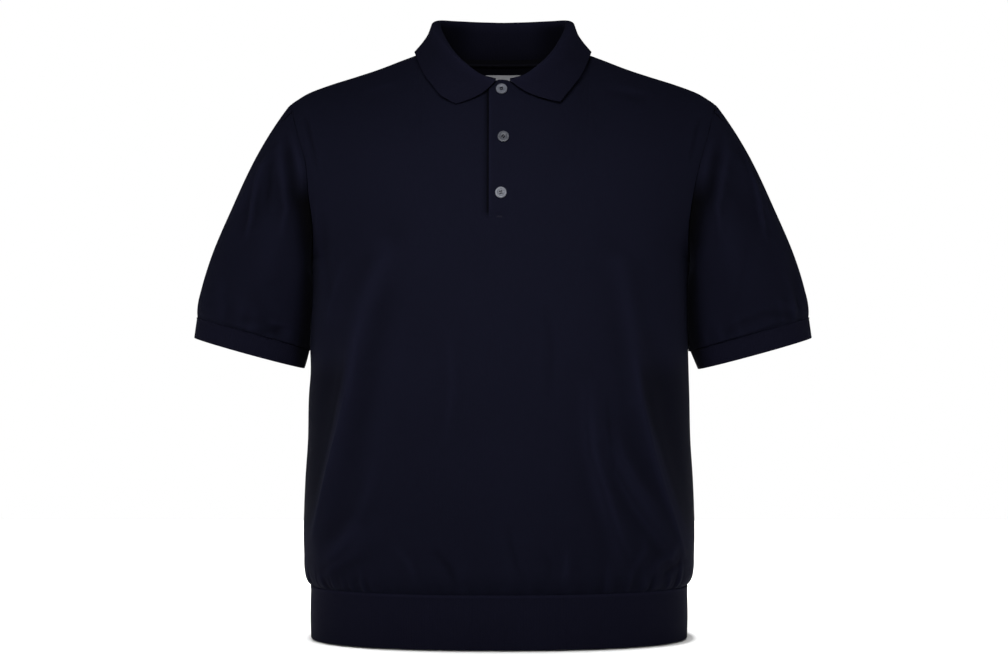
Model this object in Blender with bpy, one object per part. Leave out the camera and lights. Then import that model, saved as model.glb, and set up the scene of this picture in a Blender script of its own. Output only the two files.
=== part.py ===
"""Short-sleeved knitted polo sweater, filled out with no wearer, built as cloth walls.

Metres, +Z up. The front faces -Y, and the wearer's left is +X. The origin lies midway between
the two high shoulder points, where the shoulder seams meet the neck. Tables are in millimetres.
"""
from math import acos, cos, pi, radians, sin

import bmesh
import bpy
import numpy as np
from mathutils import Vector
from mathutils.bvhtree import BVHTree

MM = 0.001

# Driving sizes, in millimetres
CLOTH = 1.6
COLLAR_CLOTH = 1.6
BAND_CLOTH = 2.0
SEAM_GAP = 0.4
UNDERARM_GAP = 0.5
UNDERARM_HEIGHT = -247.0
HEM_SEAM_HEIGHT = -621.4
HEM_BOTTOM_HEIGHT = -683.0
SQUARENESS = 2.3
NECK_SHARE = 0.33
RISE_POWERS = (1.4, 2.4, 1.2)
CORNER_BLUR = 0.09
BLUR_WEIGHTS = ((-2, 0.0625), (-1, 0.25), (0, 0.375), (1, 0.25), (2, 0.0625))
SLOT_HALF_WIDTH = 13.0
SLOT_BOTTOM_HEIGHT = -198.0
PLACKET_EDGE = -15.2
PLACKET_LAP = 0.5
PLACKET_CLOTH = 1.6
CUFF_TILT = radians(15.5)
CUFF_HEIGHT = 24.0
CUFF_BOTTOM = (297.0, -2.0, -352.0)
CUFF_WIDTH = 131.0
CUFF_DEPTH = 114.0
CUFF_FLARE = 2.5
BUTTON_DIAMETER = 12.7
BUTTON_THICKNESS = 2.6
TAPE_WIDTH = 9.0
TAPE_CLOTH = 0.8
TAPE_REACH = 0.55
LABEL_CLOTH = 0.6
LABEL_WIDTH = 42.0
LABEL_HEIGHT = 40.0
LABEL_TOP_HEIGHT = -18.0

# Level sections of the body from the underarm down to the hem seam.
# Columns: height, centre x, half width, front depth, back depth
BODY_SECTIONS = (
    (-247.0, 0.0, 217.0, 131.0, 120.0),
    (-290.0, -1.0, 217.0, 133.0, 118.0),
    (-345.0, -2.5, 218.5, 134.0, 113.0),
    (-400.0, -4.5, 222.0, 134.5, 110.5),
    (-455.0, -4.5, 223.5, 135.0, 111.0),
    (-500.0, -4.5, 226.5, 135.0, 114.0),
    (-545.0, -4.5, 228.0, 135.0, 118.0),
    (-585.0, -4.5, 227.5, 134.0, 120.5),
    (-604.0, -4.5, 227.0, 133.0, 120.5),
    (-612.0, -4.5, 225.5, 131.0, 119.0),
    (-618.0, -4.5, 222.5, 128.5, 116.0),
    (HEM_SEAM_HEIGHT, -4.5, 219.0, 126.5, 113.0),
)

# Level sections of the hem band, from its seam down to its fold, with the same columns
BAND_SECTIONS = (
    (HEM_SEAM_HEIGHT - SEAM_GAP, -4.5, 219.0, 126.5, 113.0),
    (-660.0, -4.5, 219.6, 127.0, 113.6),
    (HEM_BOTTOM_HEIGHT, -4.5, 218.8, 126.4, 112.8),
)

# Seam lines on the wearer's left, as x, y, z
NECKLINE_FRONT = (
    (0.0, -84.0, -42.8), (15.0, -83.0, -41.9), (38.0, -76.5, -35.5), (60.0, -61.0, -23.0),
    (78.0, -38.0, -10.0), (89.0, -15.0, -2.5), (92.0, 0.0, 0.0),
)
NECKLINE_BACK = (
    (0.0, 62.0, -6.0), (25.0, 60.5, -6.0), (52.0, 53.0, -5.5), (76.0, 37.0, -3.5),
    (88.5, 18.0, -1.0), (92.0, 0.0, 0.0),
)
SHOULDER_SEAM = (
    (92.0, 0.0, 0.0), (118.0, 2.0, -9.4), (145.0, 4.0, -19.5), (172.0, 5.0, -28.3),
    (202.0, 6.0, -37.6), (227.0, 6.0, -47.0), (242.0, 5.0, -56.0), (249.0, 4.0, -61.0),
)
ARMHOLE_FRONT = (
    (217.0, 0.0, -247.0), (215.6, -24.0, -242.0), (213.8, -44.0, -227.0), (213.6, -56.0, -203.0),
    (218.0, -59.0, -170.0), (226.0, -51.0, -136.0), (236.0, -35.0, -104.0), (244.0, -16.0, -78.0),
    (249.0, 4.0, -61.0),
)
ARMHOLE_BACK = (
    (217.0, 0.0, -247.0), (216.0, 26.0, -242.0), (215.5, 47.0, -225.0), (217.0, 60.0, -197.0),
    (222.0, 63.0, -163.0), (230.0, 55.0, -130.0), (239.0, 40.0, -100.0), (246.0, 23.0, -77.0),
    (249.0, 4.0, -61.0),
)
CENTRE_FRONT = (
    (0.0, -131.0, -247.0), (0.0, -128.0, -205.0), (0.0, -121.5, -160.0), (0.0, -112.0, -115.0),
    (0.0, -98.0, -74.0), (0.0, -84.0, -42.8),
)
CENTRE_BACK = (
    (0.0, 120.0, -247.0), (0.0, 119.0, -200.0), (0.0, 115.5, -150.0), (0.0, 108.0, -100.0),
    (0.0, 93.0, -52.0), (0.0, 76.0, -21.0), (0.0, 62.0, -6.0),
)

# Rows of the panels: heights at the centre line, and shares of the way across
LOWER_HEIGHTS = (-584.0, -560.0, -531.0, -500.0, -467.0, -431.0, -393.0, -355.0, -318.0, -281.0)
GATHERED_HEIGHTS = (HEM_SEAM_HEIGHT, -618.0, -612.0, -604.0, -594.0)
UPPER_HEIGHTS = (
    -247.0, -231.0, -214.5, SLOT_BOTTOM_HEIGHT, -180.0, -162.0, -144.0, -126.0, -108.0,
    -91.0, -74.0, -59.0, -42.8,
)
SIDE_SHARES = (0.08, 0.16, 0.245, 0.33, 0.40, 0.47, 0.54, 0.61, 0.68, 0.75, 0.82, 0.88, 0.94, 1.0)

# Gathers above the hem seam.
# Columns: panel, from angle, to angle, count, depth, reach up the panel
GATHERS = (
    ("front", -76.0, -33.0, 10, 1.3, 30.0),
    ("front", 28.0, 70.0, 6, 1.9, 42.0),
    ("back", -72.0, -36.0, 7, 1.6, 36.0),
    ("back", 34.0, 70.0, 8, 1.4, 32.0),
)
GATHER_STEPS = 4
PLAIN_STEP = 5.0

# Soft folds: a ridge, or a trough where the height is negative.
# Columns: panel, height, width, route as x, z points on the panel
FOLDS = (
    ("front", 6.0, 13.0,
     ((-137, -235), (-160, -298), (-179, -371), (-192, -439), (-206, -499), (-221, -570))),
    ("front", -4.0, 15.0, ((-196, -330), (-208, -400), (-217, -470), (-226, -530))),
    ("front", -3.0, 16.0, ((-128, -290), (-146, -370), (-160, -440), (-172, -520))),
    ("front", 6.0, 13.0,
     ((142, -253), (156, -325), (165, -407), (179, -461), (197, -517), (216, -570))),
    ("front", -4.0, 15.0, ((184, -340), (198, -410), (208, -470), (221, -530))),
    ("front", 3.5, 12.0, ((95, -393), (99, -456), (110, -506), (126, -551), (131, -596))),
    ("front", 3.5, 12.0, ((120, -447), (142, -496), (174, -547), (200, -590))),
    ("front", -3.0, 12.0, ((33, -490), (14, -535), (18, -584), (32, -609))),
    ("front", 2.5, 13.0, ((38, -510), (36, -560), (46, -596))),
    ("front", 3.0, 15.0, ((-150, -548), (-182, -572), (-212, -596))),
    ("back", 5.0, 16.0, ((-132, -255), (-158, -340), (-184, -430), (-204, -520), (-214, -580))),
    ("back", 5.0, 16.0, ((120, -240), (150, -330), (182, -430), (202, -530))),
    ("back", -3.5, 18.0, ((-90, -330), (-112, -420), (-120, -520), (-112, -590))),
    ("back", 3.0, 18.0, ((-34, -420), (-22, -500), (-36, -585))),
    ("back", -3.0, 16.0, ((52, -400), (66, -480), (60, -575))),
    ("back", 3.0, 14.0, ((112, -450), (138, -520), (150, -596))),
)

# How far a sleeve swells past the straight tube.
# Columns: share along it, outside, front and back, inside
SLEEVE_SWELL = (
    (0.0, 0.0, 0.0, 0.0), (0.25, 1.5, 3.0, 0.0), (0.5, 3.5, 4.0, 0.0), (0.75, 9.0, 5.0, 1.5),
    (0.88, 9.5, 5.0, 2.5), (0.95, 8.0, 4.5, 2.5), (0.985, 4.5, 3.0, 1.5), (1.0, 0.0, 0.0, 0.0),
)
SLEEVE_ROWS = (0.0, 0.07, 0.16, 0.27, 0.38, 0.5, 0.61, 0.72, 0.81)
CUFF_ROWS = (0.88, 0.935, 0.97, 0.99, 1.0)

# Direction in which a sleeve leaves its armhole.
# Columns: turn round the sleeve (0 at the top, 0.25 at the front), x, y, z
SLEEVE_STARTS = (
    (0.0, 0.60, 0.0, -0.80), (0.25, 0.74, -0.05, -0.67), (0.5, 0.42, 0.0, -0.91),
    (0.75, 0.74, 0.05, -0.67), (1.0, 0.60, 0.0, -0.80),
)
SLEEVE_PULL = 280.0
UNDERARM_PULL_SHARE = 0.36

# Folds of the sleeves.
# Columns: side, height, width in turns, route as turn and share along the sleeve
SLEEVE_FOLDS = (
    ("right", 3.5, 0.035, ((0.07, 0.16), (0.09, 0.36), (0.10, 0.52))),
    ("right", -2.5, 0.04, ((0.15, 0.14), (0.17, 0.34), (0.18, 0.50))),
    ("right", 2.5, 0.04, ((0.27, 0.20), (0.26, 0.45), (0.28, 0.66))),
    ("right", 3.0, 0.05, ((0.80, 0.20), (0.78, 0.50), (0.80, 0.75))),
    ("left", 3.5, 0.035, ((0.08, 0.16), (0.10, 0.36), (0.11, 0.60))),
    ("left", -2.5, 0.04, ((0.16, 0.16), (0.18, 0.36), (0.17, 0.55))),
    ("left", 2.5, 0.04, ((0.28, 0.25), (0.27, 0.45), (0.25, 0.62))),
    ("left", 3.0, 0.05, ((0.76, 0.18), (0.80, 0.46), (0.78, 0.72))),
)

# Puckers above the cuffs.
# Columns: side, from turn, to turn, count, depth
SLEEVE_PUCKERS = (
    ("right", 0.16, 0.42, 6, 1.5), ("right", 0.62, 0.90, 6, 1.4),
    ("left", 0.04, 0.20, 4, 1.5), ("left", 0.28, 0.46, 4, 1.6), ("left", 0.60, 0.88, 6, 1.4),
)

# Collar, from its front end to the back of the neck.
# Columns: share of the neck seam, fold point, leaf edge point, radius of the roll
COLLAR_SECTIONS = (
    (0.038, (8.5, -90.0, -41.0), (59.0, -95.0, -69.0), 2.2),
    (0.1, (24.0, -87.5, -36.5), (70.0, -90.0, -60.5), 2.4),
    (0.172, (39.0, -79.0, -26.5), (78.5, -80.0, -49.5), 2.7),
    (0.268, (55.0, -63.0, -10.5), (88.5, -63.0, -35.0), 3.0),
    (0.40, (68.5, -37.0, 9.5), (97.0, -35.0, -16.5), 3.6),
    (0.53, (78.0, -7.0, 29.5), (99.5, -4.0, 1.0), 4.4),
    (0.66, (76.5, 26.0, 39.0), (97.5, 30.0, -6.0), 4.2),
    (0.795, (57.5, 49.0, 41.5), (78.0, 58.0, -14.0), 3.8),
    (0.905, (30.0, 64.0, 42.2), (42.0, 75.0, -17.0), 3.6),
    (1.0, (0.0, 68.0, 42.0), (0.0, 80.0, -18.0), 3.6),
)
COLLAR_STEPS = 17
NECK_CENTRE = (0.0, -8.0, 0.0)
BACK_SEAM_LENGTH = 0.74
SEAM_STAND = 0.6
LEAF_PARTS = (0.3, 0.6, 0.85, 1.0)
LEAF_LIFTS = (3.4, 2.6, 0.9, 0.0)
LEAF_CLEARANCE = 3.0
STRIP_CLEARANCE = 2.8
RIDGE_CLEARANCE = 1.6

# Front ends of the collar: how far back their shape reaches, how far their edge bows
# towards the neck, and how far the tip on each side lies from the table's edge point
FRONT_END_SHARE = 0.12
FRONT_BOWS = (4.6, 4.4, 2.2, 0.0)
TIP_SHIFTS = {1.0: (5.3, 0.0, 1.1), -1.0: (-5.4, 0.0, -1.2)}

# Placket strips: heights of their rows, and x of their columns of points
STRIP_HEIGHTS = (
    -196.5, -184.0, -171.0, -158.0, -145.0, -132.0, -119.0, -106.0, -93.0, -80.0, -68.0, -57.0,
    -50.0, -43.0,
)
UPPER_STRIP_XS = (PLACKET_EDGE, -9.2, -4.0, 3.0, 8.6, SLOT_HALF_WIDTH - SEAM_GAP)
UNDER_STRIP_XS = (-SLOT_HALF_WIDTH + SEAM_GAP, -5.0, 3.0, 9.0)

# Gap from a strip's top edge to the neck seam line, in the middle and under the collar's ends
STRIP_TOP_GAPS = {"placket_over": (1.0, 3.4), "placket_under": (1.0, 2.2)}

# Buttons on the placket.
# Columns: name, x and height of the centre, turn of the four holes
BUTTONS = (
    ("button_1", -1.5, -54.1, 0.35),
    ("button_2", 0.4, -109.3, 0.80),
    ("button_3", -2.3, -172.5, 0.10),
)

# Turned profile of a button. Columns: share of the radius, height
BUTTON_PROFILE = (
    (0.80, 0.0), (0.97, 0.7), (1.0, 1.3), (0.94, BUTTON_THICKNESS - 0.4),
    (0.80, BUTTON_THICKNESS), (0.66, BUTTON_THICKNESS - 0.15), (0.54, BUTTON_THICKNESS - 0.75),
)
BUTTON_SIDES = 18
BUTTON_GAP = 0.45
HOLE_RADIUS = 0.85
HOLE_OFFSET = 1.7
HOLE_DEPTH = 6.0

# Neck tape. Heights above the neck seam, and how far it stands inwards
TAPE_TOP = 3.5
TAPE_MIDDLE = -1.5
TAPE_TOP_INWARD = (3.0, 3.2)
TAPE_MIDDLE_INWARD = 3.6
TAPE_WALL_GAP = 1.3
LABEL_WALL_GAP = 0.4

# Finishes: red, green, blue, roughness
NAVY = (0.0075, 0.0078, 0.0165, 0.9)
PEARL = (0.24, 0.25, 0.30, 0.35)
TAPE_NAVY = (0.006, 0.006, 0.012, 0.9)
LABEL_GREY = (0.19, 0.19, 0.20, 0.8)


class Curve:
    """A smooth curve through points, read by the share of its length."""

    def __init__(self, points, before=None, after=None, steps=24):
        knots = np.array(points, float)
        first = np.array(before, float) if before is not None else 2 * knots[0] - knots[1]
        last = np.array(after, float) if after is not None else 2 * knots[-1] - knots[-2]
        padded = np.vstack([first, knots, last])
        dense = []
        for index in range(len(knots) - 1):
            a, b, c, d = padded[index:index + 4]
            for s in np.arange(steps) / steps:
                dense.append(0.5 * (2 * b + (c - a) * s + (2 * a - 5 * b + 4 * c - d) * s * s
                                    + (3 * b - a - 3 * c + d) * s ** 3))
        dense.append(knots[-1])
        self.points = np.array(dense)
        strides = np.linalg.norm(np.diff(self.points, axis=0), axis=1)
        self.shares = np.concatenate([[0.0], np.cumsum(strides)]) / strides.sum()

    def at(self, share):
        return np.array([np.interp(share, self.shares, column) for column in self.points.T])

    def share_at_height(self, height):
        return float(np.interp(height, self.points[:, 2], self.shares))


def smooth_read(rows, value):
    """Every other column of a table, read smoothly at a value of its first column."""
    table = np.array(sorted(rows), float)
    keys = table[:, 0]
    index = int(np.clip(np.searchsorted(keys, value) - 1, 0, len(keys) - 2))
    slopes = np.gradient(table[:, 1:], keys, axis=0)
    span = keys[index + 1] - keys[index]
    s = min(max((value - keys[index]) / span, 0.0), 1.0)
    start, end = table[index, 1:], table[index + 1, 1:]
    return ((2 * s ** 3 - 3 * s ** 2 + 1) * start + (s ** 3 - 2 * s ** 2 + s) * span * slopes[index]
            + (3 * s ** 2 - 2 * s ** 3) * end + (s ** 3 - s ** 2) * span * slopes[index + 1])


def mirror(point):
    return (-point[0], point[1], point[2])


NECK_FRONT = Curve(NECKLINE_FRONT, before=mirror(NECKLINE_FRONT[1]), after=NECKLINE_BACK[-2])
NECK_BACK = Curve(NECKLINE_BACK, before=mirror(NECKLINE_BACK[1]), after=NECKLINE_FRONT[-2])
SHOULDER = Curve(SHOULDER_SEAM)
PANELS = {
    "front": (-1.0, NECK_FRONT, Curve(ARMHOLE_FRONT), Curve(CENTRE_FRONT)),
    "back": (1.0, NECK_BACK, Curve(ARMHOLE_BACK), Curve(CENTRE_BACK)),
}


def level_point(sections, panel, share, height):
    """A point of a level section: share runs from -1 at one side seam to 1 at the other."""
    centre_x, half_width, front_depth, back_depth = smooth_read(sections, height)
    angle = share * pi / 2
    power = 2 / SQUARENESS
    across = np.sign(share) * abs(sin(angle)) ** power
    depth = max(cos(angle), 0.0) ** power
    y = -front_depth * depth if panel == "front" else back_depth * depth
    return np.array([centre_x + half_width * across, y, height])


def top_point(panel, share):
    """A point of the panel's top edge: neckline near the middle, shoulder seam beyond it."""
    neck = PANELS[panel][1]
    size = abs(share)
    if size <= NECK_SHARE:
        point = neck.at(size / NECK_SHARE)
    else:
        point = SHOULDER.at((size - NECK_SHARE) / (1 - NECK_SHARE))
    point[0] *= np.sign(share)
    return point


def soft_top(panel, share, up):
    """The top edge's point, with the corner at the neck eased away further down the panel."""
    reach = CORNER_BLUR * max(1 - up, 0.0) ** 0.7
    return sum(weight * top_point(panel, share + step * reach) for step, weight in BLUR_WEIGHTS)


def chest_point(panel, share, up):
    """A point above the underarm, between its level section, armhole, centre line and top."""
    _, _, armhole, centre = PANELS[panel]
    side = np.array([np.sign(share) or 1.0, 1.0, 1.0])
    rise = np.array([up ** power for power in RISE_POWERS])
    out = abs(share) ** 1.4
    edge = armhole.at(up)
    depth = abs(level_point(BODY_SECTIONS, panel, 0.0, UNDERARM_HEIGHT)[1])
    wrap = 2 / pi * acos(min(abs(edge[1]) / depth, 1.0) ** (SQUARENESS / 2))

    def loft(place):
        bottom = level_point(BODY_SECTIONS, panel, place * wrap, UNDERARM_HEIGHT)
        return (1 - rise) * bottom + rise * soft_top(panel, place, up)

    middle_shift = centre.at(up) - loft(0.0)
    edge_shift = edge * side - loft(side[0])
    return loft(share) + (1 - out) * middle_shift + out * edge_shift


def share_at_x(panel, up, x):
    """The share across a row above the underarm at which it passes x."""
    low, high = 0.0, 0.2
    for _ in range(30):
        middle = (low + high) / 2
        if chest_point(panel, middle, up)[0] < abs(x):
            low = middle
        else:
            high = middle
    return np.sign(x) * (low + high) / 2


def window(value, start, end, edge):
    """1 between start and end, falling smoothly to 0 over the edge outside them."""
    inside = min(max((value - start) / edge + 1, 0.0), 1.0) * min(max((end - value) / edge + 1, 0.0), 1.0)
    return inside * inside * (3 - 2 * inside)


def route_distance(x, z, route):
    """Distance from a point to a route, and the share of the route at its nearest point."""
    best, place = 1e9, 0.0
    count = len(route) - 1
    for index in range(count):
        (ax, az), (bx, bz) = route[index], route[index + 1]
        length = (bx - ax) ** 2 + (bz - az) ** 2
        s = min(max(((x - ax) * (bx - ax) + (z - az) * (bz - az)) / length, 0.0), 1.0)
        distance = ((x - ax - s * (bx - ax)) ** 2 + (z - az - s * (bz - az)) ** 2) ** 0.5
        if distance < best:
            best, place = distance, (index + s) / count
    return best, place


def fold_height(panel, x, z):
    """How far the soft folds of a panel stand out at x, z."""
    total = 0.0
    for side, height, width, route in FOLDS:
        if side == panel:
            distance, place = route_distance(x, z, route)
            taper = sin(pi * min(max(place * 0.9 + 0.05, 0.0), 1.0)) ** 0.7
            total += height * taper * np.exp(-(distance / width) ** 2)
    return total


def gather_height(panel, share, z):
    """How far the gathers above the hem seam stand out."""
    angle = share * 90
    total = 0.0
    for side, start, end, count, depth, reach in GATHERS:
        if side == panel:
            place = (angle - start) / (end - start)
            uneven = place + 0.018 * sin(9 * place * pi) + 0.01 * sin(17 * place * pi)
            rise = (z - HEM_SEAM_HEIGHT) / reach
            upward = max(0.0, 1 - rise) * (0.25 + 0.75 * min(max(rise * reach / 8, 0.0), 1.0))
            strength = 0.75 + 0.25 * sin(5.3 * place * pi + 1)
            wave = sin(2 * pi * count * uneven)
            total += depth * strength * upward * window(place, 0.03, 0.97, 0.06) * wave
    return total


class Skin:
    """One side of a cloth wall: points in rows, and the faces between the rows."""

    def __init__(self, closed=False, flip=False):
        self.points = []
        self.faces = []
        self.rows = []
        self.closed = closed
        self.flip = flip

    def add_row(self, points, places):
        start = len(self.points)
        self.points.extend(np.array(point, float) for point in points)
        row = [(place, start + index) for index, place in enumerate(places)]
        if self.rows:
            self.zip_rows(self.rows[-1], row)
        self.rows.append(row)

    def add_face(self, corners):
        self.faces.append(tuple(reversed(corners)) if self.flip else tuple(corners))

    def zip_rows(self, low, high):
        """Faces between two rows: quads where they match, else triangles by their places."""
        if self.closed:
            low = low + [(low[0][0] + 1.0, low[0][1])]
            high = high + [(high[0][0] + 1.0, high[0][1])]
        if len(low) == len(high):
            for a, b, c, d in zip(low, low[1:], high[1:], high):
                self.add_face((a[1], b[1], c[1], d[1]))
            return
        i, j = 0, 0
        while i < len(low) - 1 or j < len(high) - 1:
            step_low = j == len(high) - 1
            if not step_low and i < len(low) - 1:
                step_low = low[i + 1][0] + low[i][0] <= high[j + 1][0] + high[j][0]
            if step_low:
                self.add_face((low[i][1], low[i + 1][1], high[j][1]))
                i += 1
            else:
                self.add_face((low[i][1], high[j + 1][1], high[j][1]))
                j += 1

    def row_indices(self, number):
        return [index for _, index in self.rows[number]]


def key(point):
    return tuple(np.round(point, 3))


def shared_normals(skins):
    """Outward normals of several skins, shared where their points meet."""
    sums = {}
    for skin in skins:
        for face in skin.faces:
            corners = [skin.points[index] for index in face]
            area = np.zeros(3)
            for first, second in zip(corners[1:], corners[2:]):
                area += np.cross(first - corners[0], second - corners[0])
            for corner in corners:
                place = key(corner)
                sums[place] = sums.get(place, np.zeros(3)) + area
    results = []
    for skin in skins:
        normals = []
        for point in skin.points:
            total = sums.get(key(point), np.array([0.0, 0.0, 1.0]))
            normals.append(total / max(np.linalg.norm(total), 1e-12))
        results.append(np.array(normals))
    return results


def make_material(name, finish):
    red, green, blue, roughness = finish
    material = bpy.data.materials.new(name)
    material.use_nodes = True
    shader = material.node_tree.nodes["Principled BSDF"]
    shader.inputs["Base Color"].default_value = (red, green, blue, 1.0)
    shader.inputs["Roughness"].default_value = roughness
    shader.inputs["Metallic"].default_value = 0.0
    return material


def make_object(name, points, faces, finish):
    """A smooth-shaded mesh object from points in millimetres."""
    mesh = bpy.data.meshes.new(name)
    mesh.from_pydata([Vector(point) * MM for point in points], [], faces)
    mesh.update()
    mesh.shade_smooth()
    mesh.set_sharp_from_angle(angle=radians(50))
    mesh.materials.append(make_material(name, finish))
    part = bpy.data.objects.new(name, mesh)
    bpy.context.scene.collection.objects.link(part)
    return part


def split_quads(skin):
    """Splits each four-sided face along its shorter diagonal, so both sides of a wall agree."""
    faces = []
    for face in skin.faces:
        if len(face) == 3:
            faces.append(face)
            continue
        a, b, c, d = face
        one = np.linalg.norm(skin.points[a] - skin.points[c])
        two = np.linalg.norm(skin.points[b] - skin.points[d])
        faces += [(a, b, c), (a, c, d)] if one <= two else [(a, b, d), (b, c, d)]
    skin.faces = faces


def make_wall(name, skin, offsets, finish):
    """A closed wall: the skin, its offset copy, and rims along every open edge."""
    count = len(skin.points)
    split_quads(skin)
    outer = [tuple(point) for point in skin.points]
    inner = [tuple(np.array(point) - offset) for point, offset in zip(skin.points, offsets)]
    used = {}
    for face in skin.faces:
        for a, b in zip(face, face[1:] + face[:1]):
            used[(a, b)] = used.get((a, b), 0) + 1
    faces = list(skin.faces)
    faces += [tuple(index + count for index in reversed(face)) for face in skin.faces]
    for a, b in used:
        if (b, a) not in used:
            faces.append((b, a, a + count, b + count))
    points = outer + inner
    kept = sorted({index for face in faces for index in face})
    renumber = {old: new for new, old in enumerate(kept)}
    return make_object(name, [points[index] for index in kept],
                       [tuple(renumber[index] for index in face) for face in faces], finish)


def gathered_shares(panel):
    """Shares across a gathered row, with a few points for every gather."""
    zones = sorted(row[1:4] for row in GATHERS if row[0] == panel)
    angles = [-90.0]
    for start, end, count in zones:
        plain = max(int(round((start - angles[-1]) / PLAIN_STEP)), 1)
        angles += list(np.linspace(angles[-1], start, plain + 1)[1:])
        angles += list(np.linspace(start, end, count * GATHER_STEPS + 1)[1:])
    plain = max(int(round((90.0 - angles[-1]) / PLAIN_STEP)), 1)
    angles += list(np.linspace(angles[-1], 90.0, plain + 1)[1:])
    return [angle / 90 for angle in angles]


def make_body_skin(panel):
    """The outer skin of the front or the back, with its folds and gathers."""
    turn = 1.0 if panel == "front" else -1.0
    _, _, _, centre = PANELS[panel]
    skin = Skin()
    heights = []

    def add(points, shares):
        skin.add_row(points, [turn * share for share in shares])
        heights.extend((share, point[0], point[2]) for share, point in zip(shares, points))

    shares = [turn * share for share in gathered_shares(panel)] if turn > 0 else gathered_shares(panel)[::-1]
    for height in GATHERED_HEIGHTS:
        add([level_point(BODY_SECTIONS, panel, share, height) for share in shares], shares)
    slot_share = share_at_x(panel, 0.0, SLOT_HALF_WIDTH)
    half = (slot_share,) + SIDE_SHARES
    shares = [turn * share for share in [-s for s in reversed(half)] + [0.0] + list(half)]
    for height in LOWER_HEIGHTS:
        add([level_point(BODY_SECTIONS, panel, share, height) for share in shares], shares)
    ups = [centre.share_at_height(height) for height in UPPER_HEIGHTS]
    if panel == "back":
        ups = [index / (len(UPPER_HEIGHTS) - 1) for index in range(len(UPPER_HEIGHTS))]
    for up in ups:
        slot_share = share_at_x(panel, up, SLOT_HALF_WIDTH)
        half = (slot_share,) + SIDE_SHARES
        shares = [turn * share for share in [-s for s in reversed(half)] + [0.0] + list(half)]
        add([chest_point(panel, share, up) for share in shares], shares)
    normals = shared_normals([skin])[0]
    for index, (share, x, z) in enumerate(heights):
        still = window(abs(share), -1, 0.93, 0.07)
        push = still * (fold_height(panel, x, z) + gather_height(panel, share, z))
        if z <= HEM_SEAM_HEIGHT + 0.1:
            push *= 0.3
        skin.points[index] = skin.points[index] + normals[index] * push
    return skin


def drop_slot(skin):
    """Takes the faces of the placket slot out of the front."""
    kept = []
    for face in skin.faces:
        corners = np.array([skin.points[index] for index in face])
        middle = corners.mean(axis=0)
        if abs(middle[0]) < SLOT_HALF_WIDTH and middle[2] > SLOT_BOTTOM_HEIGHT:
            continue
        kept.append(face)
    skin.faces = kept


def tilt_frame():
    """Directions at the cuff: outwards across it, forwards across it, and down its axis."""
    outward = np.array([cos(CUFF_TILT), 0.0, sin(CUFF_TILT)])
    forward = np.array([0.0, -1.0, 0.0])
    down = np.array([sin(CUFF_TILT), 0.0, -cos(CUFF_TILT)])
    return outward, forward, down


def cuff_point(turn, drop, spread=0.0):
    """A point of the cuff's oval: drop is the distance down from its seam."""
    outward, forward, down = tilt_frame()
    share = drop / CUFF_HEIGHT
    centre = np.array(CUFF_BOTTOM) - down * (CUFF_HEIGHT - drop)
    width = CUFF_WIDTH / 2 - CUFF_FLARE * (1 - share) + spread
    depth = CUFF_DEPTH / 2 - CUFF_FLARE * (1 - share) + spread
    angle = 2 * pi * turn
    return centre + outward * width * cos(angle) + forward * depth * sin(angle)


def sleeve_push(side, turn, along):
    """How far the folds and puckers of a sleeve stand out."""
    total = 0.0
    for name, height, width, route in SLEEVE_FOLDS:
        if name == side:
            scaled = tuple((t / width, a * 4) for t, a in route)
            distance, place = route_distance(turn / width, along * 4, scaled)
            total += height * sin(pi * (0.1 + 0.8 * place)) * np.exp(-distance ** 2)
    for name, start, end, count, depth in SLEEVE_PUCKERS:
        if name == side:
            place = (turn - start) / (end - start)
            uneven = place + 0.02 * sin(7 * place * pi)
            upward = window(along, 0.93, 0.985, 0.09)
            total += depth * upward * window(place, 0.05, 0.95, 0.1) * sin(2 * pi * count * uneven)
    return total


def make_sleeve_skin(side, front, back):
    """The outer skin of one sleeve, from the body's armhole edge to the cuff's seam."""
    sign = 1.0 if side == "left" else -1.0
    size = len(UPPER_HEIGHTS)
    column = -1 if sign > 0 else 0
    front_edge = [front.points[front.row_indices(-row)[column]] for row in range(1, size + 1)]
    other = 0 if sign > 0 else -1
    back_edge = [back.points[back.row_indices(-row)[other]] for row in range(1, size + 1)]
    ring = front_edge[:-1] + list(reversed(back_edge))[:-1]
    ring = [np.array([sign * point[0], point[1], point[2]]) for point in ring]
    places = [index / len(ring) for index in range(len(ring))]
    start_curve = np.vstack([ring, ring[:1]])
    start_places = places + [1.0]
    _, _, down = tilt_frame()
    skin = Skin(closed=True, flip=sign < 0)
    pushes = []

    def add_sleeve_row(along, turns):
        row = []
        for turn in turns:
            start = np.array([np.interp(turn, start_places, axis) for axis in start_curve.T])
            start = start + np.array([SEAM_GAP + UNDERARM_GAP * sin(pi * turn) ** 4, 0.0, 0.0])
            leave = smooth_read(SLEEVE_STARTS, turn)
            end = cuff_point(turn, -SEAM_GAP)
            pull = SLEEVE_PULL * (UNDERARM_PULL_SHARE + (1 - UNDERARM_PULL_SHARE) * abs(cos(pi * turn)))
            s = along
            point = ((2 * s ** 3 - 3 * s ** 2 + 1) * start + (s ** 3 - 2 * s ** 2 + s) * pull * leave
                     + (3 * s ** 2 - 2 * s ** 3) * end + (s ** 3 - s ** 2) * pull * down)
            outside, across, inside = smooth_read(SLEEVE_SWELL, along)
            angle = 2 * pi * turn
            swell = outside * max(cos(angle), 0.0) ** 2 + across * sin(angle) ** 2
            swell += inside * max(-cos(angle), 0.0) ** 2
            row.append(point)
            pushes.append(swell + sleeve_push(side, turn, along))
        skin.add_row(row, turns)

    for along in SLEEVE_ROWS:
        add_sleeve_row(along, places)
    dense = [index / (2 * len(ring)) for index in range(2 * len(ring))]
    for along in CUFF_ROWS:
        add_sleeve_row(along, dense)
    for point in skin.points:
        point[0] *= sign
    normals = shared_normals([skin])[0]
    for index, push in enumerate(pushes):
        skin.points[index] = skin.points[index] + normals[index] * push
    return skin


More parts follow.
